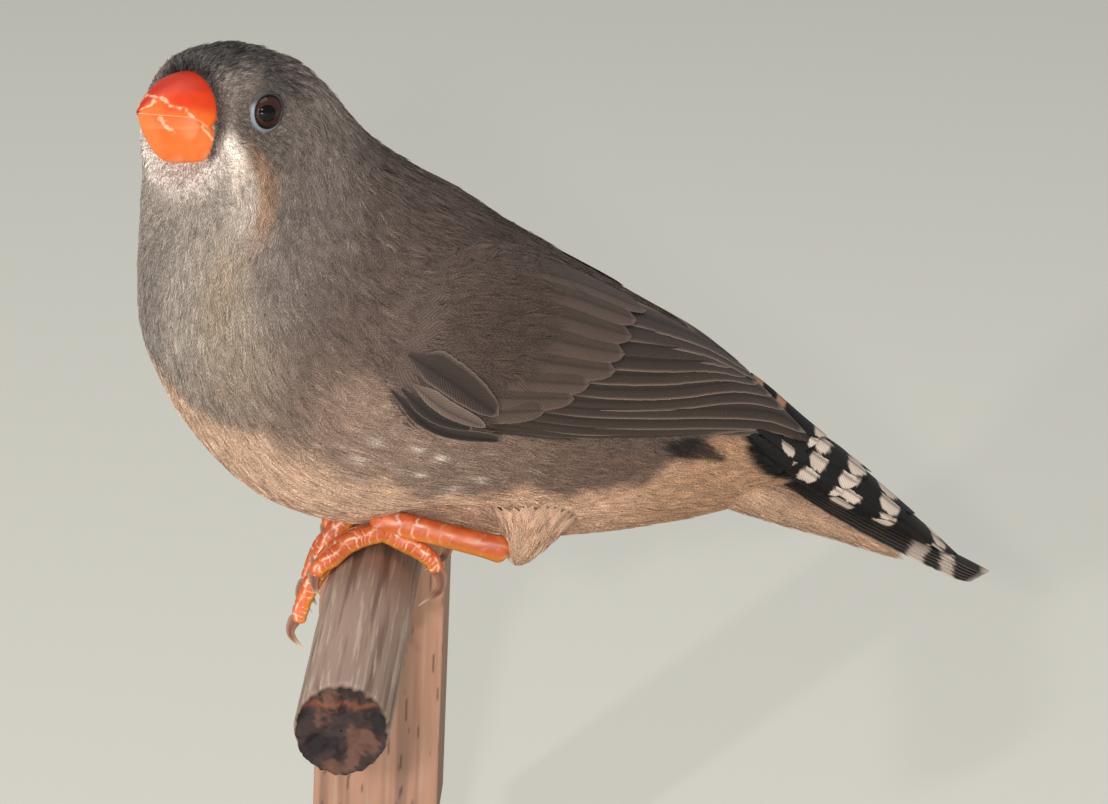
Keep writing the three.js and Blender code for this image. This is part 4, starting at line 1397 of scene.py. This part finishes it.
def skin():
    """One skin from the bill's base to the tail, with its lids, the corners of its mouth and its legs."""
    parts = Parts()
    u = np.concatenate([np.linspace(-0.95, 5, 140), np.linspace(5, TRUNK_END, 150)[1:]])[:, None]
    angle = np.linspace(-180, 180, 220, endpoint=False)[None]
    surface = lifted(body, u, angle, 0 * angle - coat_depth(u), (0.02, 0.6))
    # The skin wears the coat's colours, darkened as painted shade under the feathers.
    tint = plumage(u + 0 * angle, angle + 0 * u) * 0.85
    for centre, out, _, _ in EYES.values():
        outward, across = from_axis(surface, centre, out)
        sunk = (1 - smooth(across, 1.7, 2.5)) * smooth(outward, -2.0, 0.0) * np.maximum(outward + 0.6, 0)
        surface = surface - sunk[..., None] * out
    parts.add_grid(from_bird(surface), tint, wraps=True, capped=True)
    for axes in EYES.values():
        parts.add_grid(from_bird(lids(*axes)), lid_tint(), wraps=True)
    for side in SIDES.values():
        gape(parts, side)
    for foot in FEET.values():
        for plan in TOES.values():
            toe(parts, foot, plan)
        tarsus(parts, foot)
        s, angle = np.linspace(0, 0.995, 40)[:, None], np.linspace(-180, 180, 60, endpoint=False)[None]
        hill = lifted(thigh_surface(foot)[0], s, angle, THIGH_SKIN + 0 * s, (0.002, 1.0), -1)
        # The skin under the thigh tufts is painted darker than they are, as shade under them.
        parts.add_grid(from_bird(hill), THIGH * 0.8, wraps=True, capped=True, flip=True)
    parts.made("skin", SKIN, "body_plumage", "head", "neck", "trunk", "thigh_left", "thigh_right",
               "tarsus_left", "tarsus_right", "foot_left", "foot_right")


def perch_to_bird(*point):
    """A place in the perch's frame, in the bird's own."""
    return turned(np.array(point) - (BIRD_ACROSS, 0, BIRD_RISE), -BIRD_HEADING)


def thigh_surface(foot):
    """The feathered thigh as a hill on the belly, from 0 at its edge to 1 at its top, and the place below."""
    x, y = foot["heel"]
    tip = perch_to_bird(x + 2.3, y, -1.3)
    wanted = perch_to_bird(x + 4.2, 0.78 * y, 4.0)
    u, angle = np.meshgrid(np.linspace(9, 16, 141), np.linspace(-180, 180, 361), indexing="ij")
    nearest = np.linalg.norm(body(u, angle) - wanted, axis=-1).argmin()
    middle = u.ravel()[nearest], angle.ravel()[nearest]
    lengths = metric(body, *middle, 0.02, 0.6)
    rise = tip - body(*middle)

    def below(s, angle):
        rest = np.clip(1 - s, 0, 1)
        radius = 1.9 * np.sqrt(1 - (1 - rest) ** 4) + 3.2 * rest**2
        a = np.radians(angle)
        return moved(lengths, *middle, 1.15 * radius * np.cos(a), radius * np.sin(a))

    def surface(s, angle):
        s, angle = np.broadcast_arrays(np.asarray(s, float), np.asarray(angle, float))
        return body(*below(s, angle)) + rise * (np.clip(s, 0, 1) ** 1.15)[..., None]

    return surface, below


GAPE_DEEP = colour(206, 140, 110)
GAPE_PALE = colour(236, 196, 172)


def gape(parts, side):
    """The soft fold of skin at one corner of the mouth."""
    theta = np.radians(np.linspace(0, 180, 40))[:, None]
    turn = ring_angles(48)
    fold = 1 + 0.06 * np.sin(turn * 5 + theta * 4)
    forward = BILL["base"] - 0.1 + 1.3 * np.cos(theta) * fold
    left = side * (BILL["half"] - 0.85 + 0.75 * np.sin(theta) * np.cos(turn) * fold)
    up = BILL["gape"] - 0.75 - 0.25 * np.cos(theta) + 0.62 * np.sin(theta) * np.sin(turn) * fold
    points = head_point(forward, left, up)
    tint = mix(GAPE_DEEP, GAPE_PALE, smooth(mottle(points, 0.6, 44), -0.2, 0.8))
    parts.add_grid(from_bird(points), tint, wraps=True, flip=side > 0)


# The lids in section: distance from the eye's axis, and place along it
LID_PROFILE = np.array([
    (1.60, 1.20), (1.78, 1.28), (1.86, 1.34), (1.93, 1.38), (2.02, 1.37), (2.12, 1.31), (2.22, 1.20),
    (2.34, 1.04), (2.5, 0.86), (2.8, 0.62), (3.2, 0.3), (3.6, -0.3),
])
LID_ROWS = catmull(LID_PROFILE, np.linspace(0, len(LID_PROFILE) - 1, 60))
LID_ANGLES = ring_angles(96)
LID_EDGE = colour(34, 29, 31)
LID_RING = colour(132, 140, 146)
LID_FEATHER_SHADE = colour(70, 64, 64)


def lids(centre, out, forward, up):
    """The bare ring of the closed-up lids, with its fine beads, down to the skin around the eye."""
    turn = LID_ANGLES
    r = LID_ROWS[:, 0:1] * (1 - 0.03 * np.cos(2 * turn))
    beads = 0.025 * np.sin(turn * 34 + np.sin(turn * 5)) * bump((LID_ROWS[:, 0:1] - 2.08) / 0.16)
    h = (LID_ROWS[:, 1:2] + beads)[..., None]
    return centre + out * h + forward * (np.cos(turn) * r)[..., None] + up * (np.sin(turn) * r)[..., None]


def lid_tint():
    r = LID_ROWS[:, 0:1] + 0 * LID_ANGLES
    shows = smooth(RING_AHEAD * np.cos(LID_ANGLES) - RING_BELOW * np.sin(LID_ANGLES), *RING_RANGE) + 0 * r
    # Where the feathers overhang the bare ring, it is painted dark as their shade.
    ring = mix(LID_FEATHER_SHADE, LID_RING, shows)
    return painted(LID_EDGE, (ring, smooth(r, 1.90, 2.04)), (LORES * 0.7, smooth(r, 2.25, 2.45)))


skin()
for name, foot in FEET.items():
    claws(name, foot)


# Thigh tufts

def thighs():
    rng = np.random.default_rng(SEED + 70)
    parts = Parts(from_bird)
    for foot in FEET.values():
        surface, below = thigh_surface(foot)

        def density(s, angle):
            return np.full(s.shape, 1 / 0.6**2)

        def shade(s, angle, points):
            tuft_colour = THIGH * (0.95 + 0.10 * mottle(points, 1.2, 5))[..., None]
            rear = bump(signed(angle) / 50) * bump((s - 0.45) / 0.25)
            return painted(plumage(*below(s, angle)), (tuft_colour, smooth(s, 0.15, 0.75)),
                           (FLANK_REAR, 0.55 * rear * smooth(mottle(points, 0.8, 6), -0.2, 0.6)))

        places = scatter(surface, ((0.0, 0.98), (-180, 180)), density, rng, (40, 60))
        spec = {
            "fingers": 10, "length": between(places[0], [(0.0, 4.0), (0.6, 3.6), (1, 2.2)]),
            "width": between(places[0], [(0.0, 0.9), (0.6, 0.9), (1, 0.55)]), "heading": 0.0, "stray": 12.0,
            "root": -0.3, "tip": 0.05, "lift": 0.14, "uneven": 0.12,
        }
        soft_feathers(parts, surface, places, spec, shade, rng, box_bake(0, 1), steps=(0.02, 3.0), hand=-1)
    parts.made("coat_thighs", SOFT, "buff_plumage")


thighs()


# Bill

BILL_RED = colour(212, 60, 20)
# A deeper red, used for real patches and also as painted shade on the bill.
BILL_DEEP_AND_SHADE = colour(196, 48, 20)
BILL_ORANGE = colour(228, 106, 36)
BILL_LOW = colour(230, 120, 58)
BILL_FLAKE = colour(255, 206, 168)


# What differs between the halves of the bill, with lines of pale flaking as shares of a half's length and of
# its height from the mouth's edge. Its base bulges by distance from the mouth's corner
BILL_HALVES = {
    "bill_upper": {
        "sign": 1, "base": BILL["culmen"], "point": 0.15, "bend": 2.0, "fullness": 0.85, "thinning": 0,
        "inset": 0.08, "taper": 0.9, "wide": 1, "spare": 0.10,
        "bulge": [(0, -0.9), (0.5, -0.3), (1.4, 0.5), (3.0, 0.35), (5.0, 0.0)],
        "flakes": [[
            (0.93, 0.85), (0.83, 0.72), (0.74, 0.98), (0.67, 0.80), (0.62, 0.42), (0.44, 0.20), (0.34, 0.02),
        ]],
    },
    "bill_lower": {
        "sign": -1, "base": BILL["gonys"] - 0.4, "point": -0.15, "bend": 2.9, "fullness": 0.26,
        "thinning": 1.1, "inset": -0.12, "taper": 1.12, "wide": 0.965, "spare": 0.04,
        "bulge": [(0, -0.9), (0.6, -0.2), (2.0, 0.8), (3.4, 0.75), (4.6, 0.6)],
        "flakes": [[(0.72, 0.16), (0.62, 0.28), (0.50, 0.34)], [(0.10, 0.08), (0.05, 0.35)]],
    },
}
FLAKE_HEIGHT = 2.6


def near_lines(x, y, lines):
    """The distance from the nearest of some bent lines."""
    nearest = np.full(np.broadcast(x, y).shape, 99.0)
    for line in lines:
        for (ax, ay), (bx, by) in zip(line[:-1], line[1:]):
            share = ((x - ax) * (bx - ax) + (y - ay) * (by - ay)) / ((bx - ax) ** 2 + (by - ay) ** 2)
            share = np.clip(share, 0, 1)
            nearest = np.minimum(nearest, np.hypot(x - ax - share * (bx - ax), y - ay - share * (by - ay)))
    return nearest


def bill_tint(sign, forward, share, patches, flake, lips):
    if sign > 0:
        # On the upper half: random patches of deeper red, and painted shade along its top.
        deep = np.maximum(smooth(patches, -0.3, 0.8), smooth(share, 0.75, 1.0))
        front = smooth(forward, 0.52, 0.78) * (1 - smooth(share, 0.80, 1.0))
        orange = np.maximum(front, 1 - smooth(share, 0.08, 0.42)) * 0.9
        tint = painted(BILL_RED, (BILL_DEEP_AND_SHADE, deep), (BILL_ORANGE, orange))
    else:
        pale = 0.22 * bump((forward - 0.25) / 0.2) * smooth(patches, 0.1, 0.7)
        tint = painted(BILL_LOW, (BILL_ORANGE, smooth(patches, -0.4, 0.6)), (BILL_FLAKE, pale))
    return painted(tint, (BILL_FLAKE, 0.72 * flake), (BILL_FLAKE, 0.45 * lips))


def bill_half(name, plan):
    sign = plan["sign"]
    start, end = plan["base"], BILL["point"] + plan["point"]
    t = np.linspace(-0.06, 1, 160)[:, None]
    a = math.pi / 2 * (1 - np.cos(np.linspace(0, math.pi, 150)))[None]
    forward = np.clip(t, 0, 1)
    edge = BILL["gape"] + (BILL["point"] - BILL["gape"]) * forward**0.75
    edge = edge - 0.6 * (1 - smooth(forward, 0.0, 0.42)) - plan["inset"]
    height = np.abs(start + (end - start) * forward ** plan["bend"] - edge)
    half = BILL["half"] * plan["wide"] * (1 - forward**1.25) ** plan["taper"] + plan["spare"]
    share = np.sin(a) ** (plan["fullness"] + plan["thinning"] * forward)
    up = edge + sign * share * height
    bulge = between(np.abs(up - BILL["gape"] + 0.6), plan["bulge"]) * np.abs(np.cos(a)) ** 0.5
    base = BILL["base"] + (BILL["culmen"] - up) * 0.12 - bulge
    f = base + (BILL["tip"] - base) * t
    side = np.cos(a) * half
    size = BILL["tip"] - BILL["base"]
    lines = [[(x * size, y * FLAKE_HEIGHT) for x, y in line] for line in plan["flakes"]]
    wander = 0.12 * mottle(np.stack([f, side, up], -1), 0.5, 35)
    flake = bump((near_lines(forward * size, share * FLAKE_HEIGHT, lines) + wander) / 0.13)
    lips = bump((up - edge) / 0.10) * smooth(forward, -0.02, 0.05)
    rise = 0.05 * flake + 0.02 * lips
    points = head_point(f, side * (1 + rise / 4), up + sign * rise)
    tint = bill_tint(sign, forward, share, mottle(points, 2.2, 31), flake, lips)
    parts = Parts()
    parts.add_grid(from_bird(points), tint, flip=sign > 0)
    # The strip inside the mouth is painted dark, as the shade between the halves.
    inner = head_point(f[:, [0, -1]], side[:, [0, -1]] * 0.85, edge + sign * 0.3 * np.ones((1, 2)))
    mouth = from_bird(np.stack([points[:, 0], inner[:, 0], inner[:, 1], points[:, -1]], 1))
    parts.add_grid(mouth, BILL_DEEP_AND_SHADE * 0.5, flip=sign < 0)
    parts.made(f"{name}_horn", HORN_BILL, "bill", name)


for name, plan in BILL_HALVES.items():
    bill_half(name, plan)


# Eyes

IRIS = colour(58, 33, 26)
IRIS_DARK = colour(26, 15, 14)
PUPIL = colour(6, 5, 6)
EYE_PAINTED_LID_SHADE = colour(30, 24, 26)
PUPIL_AHEAD = 16.0


def eye(name, centre, out, forward, up):
    theta = np.radians(np.linspace(0, 180, 90))[:, None]
    turn = ring_angles(96)
    r = EYE["radius"] + 0.10 * bump(theta / 0.75)
    directions = (
        out * np.cos(theta)[..., None]
        + forward * (np.sin(theta) * np.cos(turn))[..., None]
        + up * (np.sin(theta) * np.sin(turn))[..., None]
    )
    points = centre + directions * (r + 0 * turn)[..., None]
    degrees = np.degrees(theta) + 0 * turn
    tilt = math.radians(PUPIL_AHEAD)
    gaze = out * math.cos(tilt) + forward * math.sin(tilt)
    from_pupil = np.degrees(np.arccos(np.clip(directions @ gaze, -1, 1)))
    fibres = 0.12 * np.sin(turn * 40 + 3 * np.sin(turn * 7)) + 0 * theta
    iris = mix(PUPIL, IRIS, smooth(from_pupil, 24.5, 27.5))
    iris = iris * (1 + fibres * smooth(from_pupil, 26, 30))[..., None]
    # Beyond the iris's dark rim, the eyeball's edge under the lids is painted dark, as their shade.
    tint = painted(iris, (IRIS_DARK, smooth(degrees, 44, 56)), (EYE_PAINTED_LID_SHADE, smooth(degrees, 56, 62)))
    parts = Parts()
    parts.add_grid(from_bird(points), tint, wraps=True)
    parts.made(f"eyeball_{name}", EYE_WET, "eye", f"eye_{name}")


for name, axes in EYES.items():
    eye(name, *axes)


# Perch and stand

WOOD_GREY = colour(168, 142, 125)
WOOD_DARK = colour(118, 94, 80)
WOOD_PALE = colour(200, 178, 162)
WOOD_WARM = colour(188, 142, 115)
BURNT = colour(52, 38, 36)
BURNT_BROWN = colour(96, 66, 54)
BURNT_BLACK = colour(30, 22, 23)
BURNT_RED = colour(132, 74, 52)
WOOD_FLECK = colour(84, 52, 40)
STAIN = colour(74, 48, 34)
STAIN_DARK = colour(44, 28, 20)
STEEL = colour(186, 188, 190)


def disc_place(angle, radius, y):
    """Places on or inside the dowel's round, for the wood's pattern."""
    return stacked(radius * np.cos(angle) * DOWEL_RADIUS, y, radius * np.sin(angle) * DOWEL_RADIUS)


def dowel():
    """A round dowel with weathered ridges along it and a rough dark end."""
    front = -DOWEL_FRONT
    y = np.linspace(front, POST_FRONT - GAP, 240)[:, None]
    angle = ring_angles(260)
    along_wood = disc_place(angle, 1, y * 0.02)
    broad = mottle(along_wood, 1.0, 51)
    narrow = mottle(along_wood, 0.22, 52)
    nibble = mottle(disc_place(angle, 1, 0 * y), 0.9, 54)
    radius = DOWEL_RADIUS - 0.10 + 0.07 * broad + 0.035 * narrow
    radius = radius - bump((y - front) / 0.8) * (0.22 + 0.22 * np.abs(nibble))
    shift = np.where(y < front + 2, -0.3 * nibble * (1 - smooth(y, front, front + 2)), 0)
    points = stacked(np.cos(angle) * radius, y + np.maximum(shift, 0), np.sin(angle) * radius - DOWEL_RADIUS)
    tint = mix(WOOD_GREY, WOOD_DARK, 0.75 * smooth(-broad - 0.5 * narrow, 0.0, 1.1))
    tint = painted(tint, (WOOD_PALE, 0.7 * smooth(narrow + 0.3 * broad, 0.6, 1.0)),
                   (BURNT, bump((y - front) / 0.55) * 0.85 + 0 * angle))
    parts = Parts()
    parts.add_grid(from_perch(points), tint, wraps=True)

    share = np.linspace(1, 0.02, 46)[:, None]
    face = disc_place(angle, share, 0 * share)
    rough = mottle(face, 2.6, 55) * 0.45 + mottle(face, 0.8, 56) * 0.10
    rim = points[0][None]
    middle = np.array([0, front, -DOWEL_RADIUS])
    end = middle + (rim - middle) * share[..., None]
    inside = (front + 0.35) * (1 - share**8) + np.clip(rough, -0.6, 0.3) * (1 - share**6)
    end[..., 1] = rim[..., 1] * share**8 + inside + 0.15
    patches = mottle(face, 2.2, 57) + 0.3 * mottle(face, 0.6, 58)
    red = bump((face[..., 2] - 3.1 + 0.4 * mottle(face, 1.5, 59)) / 0.45)
    end_tint = painted(BURNT, (BURNT_BROWN, smooth(patches, 0.3, 1.1)),
                       (BURNT_BLACK, smooth(-patches, 0.1, 0.9)), (BURNT_RED, 0.6 * red))
    parts.add_grid(from_perch(end), end_tint, wraps=True, flip=True)

    back = points[-1][None] * np.ones((2, 1, 1))
    back[1] = back[1].mean(0)
    parts.add_grid(from_perch(back), WOOD_GREY, wraps=True)
    parts.made("perch_dowel_wood", ROUND_WOOD, "dowel", "perch_dowel")


def block(size, corner, counts, tint_of):
    """A box of three sizes with rounded edges, as six fine grids around its centre."""
    parts = Parts()
    half = np.array(size) / 2
    for axis in range(3):
        for sign in (1, -1):
            others = [k for k in range(3) if k != axis]
            a = np.linspace(-1, 1, counts[others[0]])[:, None]
            b = np.linspace(-1, 1, counts[others[1]])[None]
            spots = np.empty(np.broadcast(a, b).shape + (3,))
            spots[..., axis] = sign * half[axis]
            spots[..., others[0]] = a * half[others[0]]
            spots[..., others[1]] = b * half[others[1]]
            core = np.clip(spots, -(half - corner), half - corner)
            away = spots - core
            away = away / np.maximum(np.linalg.norm(away, axis=-1), 1e-9)[..., None]
            rounded = core + away * corner
            flips = (axis == 1) == (sign > 0)
            parts.add_grid(rounded, tint_of(rounded), flip=flips)
    return parts


def post():
    height = POST_ABOVE + POST_BELOW

    def tint_of(points):
        long = mottle(points * (1, 1, 0.03), 1.0, 71)
        fine = mottle(points * (1, 1, 0.04), 0.4, 73)
        fleck = smooth(mottle(points * (1, 1, 0.12), 0.26, 72), 0.95, 1.35)
        made = mix(WOOD_WARM, WOOD_DARK, 0.6 * smooth(-long - 0.4 * fine, 0, 1.3))
        made = mix(made, WOOD_PALE, 0.3 * smooth(fine + 0.3 * long, 0.5, 1.4))
        return mix(made, WOOD_FLECK, 0.75 * fleck)

    parts = block((POST_SIDE, POST_SIDE, height), 0.35, (70, 70, 200), tint_of)
    lean = math.radians(POST_LEAN)
    above_middle = height / 2 - POST_ABOVE
    middle = np.array([-math.sin(lean) * above_middle, POST_FRONT + POST_SIDE / 2, -above_middle])
    for i, points in enumerate(parts.points):
        x, y, z = points.T
        across = x * math.cos(lean) + z * math.sin(lean)
        leaning = stacked(across, y, -x * math.sin(lean) + z * math.cos(lean))
        parts.points[i] = from_perch(leaning + middle)
    parts.made("perch_post_wood", SQUARE_WOOD, "post", "perch_post")


def base():
    low, high = (np.array(c) * 1000 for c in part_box("stand_base"))

    def tint_of(points):
        rings = mottle(points * (0.06, 1, 1), 2.2, 81)
        return mix(STAIN, STAIN_DARK, smooth(rings, -0.6, 0.8))

    parts = block(high - low, 1.6, (100, 100, 24), tint_of)
    parts.points = [p + (low + high) / 2 for p in parts.points]
    parts.made("stand_base_wood", BASE_WOOD, "base", "stand_base")


ROD_COLLAR = 0.35


def rod():
    """The stand's rod, with a collar where it leaves the base."""
    low, high = (np.array(c) * 1000 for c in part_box("stand_rod"))
    radius = (high[0] - low[0]) / 2
    middle = (low + high) / 2
    z = np.linspace(low[2], high[2], 60)[:, None]
    angle = ring_angles(72)
    collar = ROD_COLLAR * (1 - smooth(z - low[2], 1.1, 1.4))
    r = radius - ROD_COLLAR + collar - 0.15 * bump((z - high[2]) / 0.3)
    points = stacked(middle[0] + np.cos(angle) * r, middle[1] + np.sin(angle) * r, z)
    parts = Parts()
    parts.add_grid(points, STEEL, wraps=True, capped=True)
    parts.made("stand_rod_steel", ROD_STEEL, "rod", "stand_rod")


dowel()
post()
base()
rod()


# Floor, light and camera

FLOOR_SIZE = 4.0
FLOOR_COLOUR = colour(228, 226, 214)


def floor():
    corners = [(-1, -1), (1, -1), (1, 1), (-1, 1)]
    mesh = bpy.data.meshes.new("floor")
    mesh.from_pydata([(x * FLOOR_SIZE, y * FLOOR_SIZE, 0) for x, y in corners], [], [(0, 1, 2, 3)])
    ground = bpy.data.objects.new("floor", mesh)
    bpy.context.scene.collection.objects.link(ground)
    m = Nodes("pale_floor")
    m.set(Base_Color=(*FLOOR_COLOUR, 1), Roughness=0.8)
    mesh.materials.append(m.material)


CAMERA_DISTANCE = 750.0
CAMERA_TURN = 2.0
CAMERA_FALL = 15.0
CAMERA_LENS = 209.6
AIM_RIGHT = 19.42
AIM_UP = 15.0
LAMP_AIM = (0.01, 0.0, 0.085)
KEY_MIDDLE = (-0.17, -0.80, 0.15)
KEY_APART = (0.16, 0.15)
KEY_SIZE = 0.024
KEY_POWER = 2.05
WORLD_STRENGTH = 0.33


def camera():
    turn = math.radians(CAMERA_TURN)
    fall = math.radians(CAMERA_FALL)
    right = np.array([math.cos(turn), math.sin(turn), 0])
    look = np.array([-math.sin(turn) * math.cos(fall), math.cos(turn) * math.cos(fall), -math.sin(fall)])
    up = np.cross(right, look)
    at = from_bird(np.zeros(3)) + AIM_RIGHT * right + AIM_UP * up - CAMERA_DISTANCE * look
    data = bpy.data.cameras.new("camera")
    data.lens = CAMERA_LENS
    data.sensor_width = 36.0
    data.sensor_fit = "HORIZONTAL"
    made = bpy.data.objects.new("camera", data)
    made.location = at / 1000
    made.rotation_euler = (math.radians(90 - CAMERA_FALL), 0, turn)
    bpy.context.scene.collection.objects.link(made)
    bpy.context.scene.camera = made


def lamp(name, place_at, size, power):
    data = bpy.data.lights.new(name, "AREA")
    data.size = size
    data.energy = power
    made = bpy.data.objects.new(name, data)
    made.location = place_at
    direction = np.array(LAMP_AIM) - np.array(place_at)
    yaw = math.atan2(direction[1], direction[0])
    fall = math.asin(direction[2] / np.linalg.norm(direction))
    made.rotation_euler = (fall + math.pi / 2, 0, yaw - math.pi / 2)
    bpy.context.scene.collection.objects.link(made)


def light():
    """Four small lamps in front, one wide lamp above and a plain sky."""
    x, y, z = KEY_MIDDLE
    for i, (right, up) in enumerate([(-1, -1), (1, -1), (-1, 1), (1, 1)]):
        lamp(f"key_{i}", (x + KEY_APART[0] * right, y, z + KEY_APART[1] * up), KEY_SIZE, KEY_POWER)
    lamp("above", (-0.1, -0.1, 1.2), 1.0, 7.0)
    world = bpy.data.worlds.new("studio")
    bpy.context.scene.world = world
    world.use_nodes = True
    background = world.node_tree.nodes["Background"]
    background.inputs["Color"].default_value = (1, 1, 1, 1)
    background.inputs["Strength"].default_value = WORLD_STRENGTH


floor()
camera()
light()
bpy.context.scene.view_settings.view_transform = "Standard"
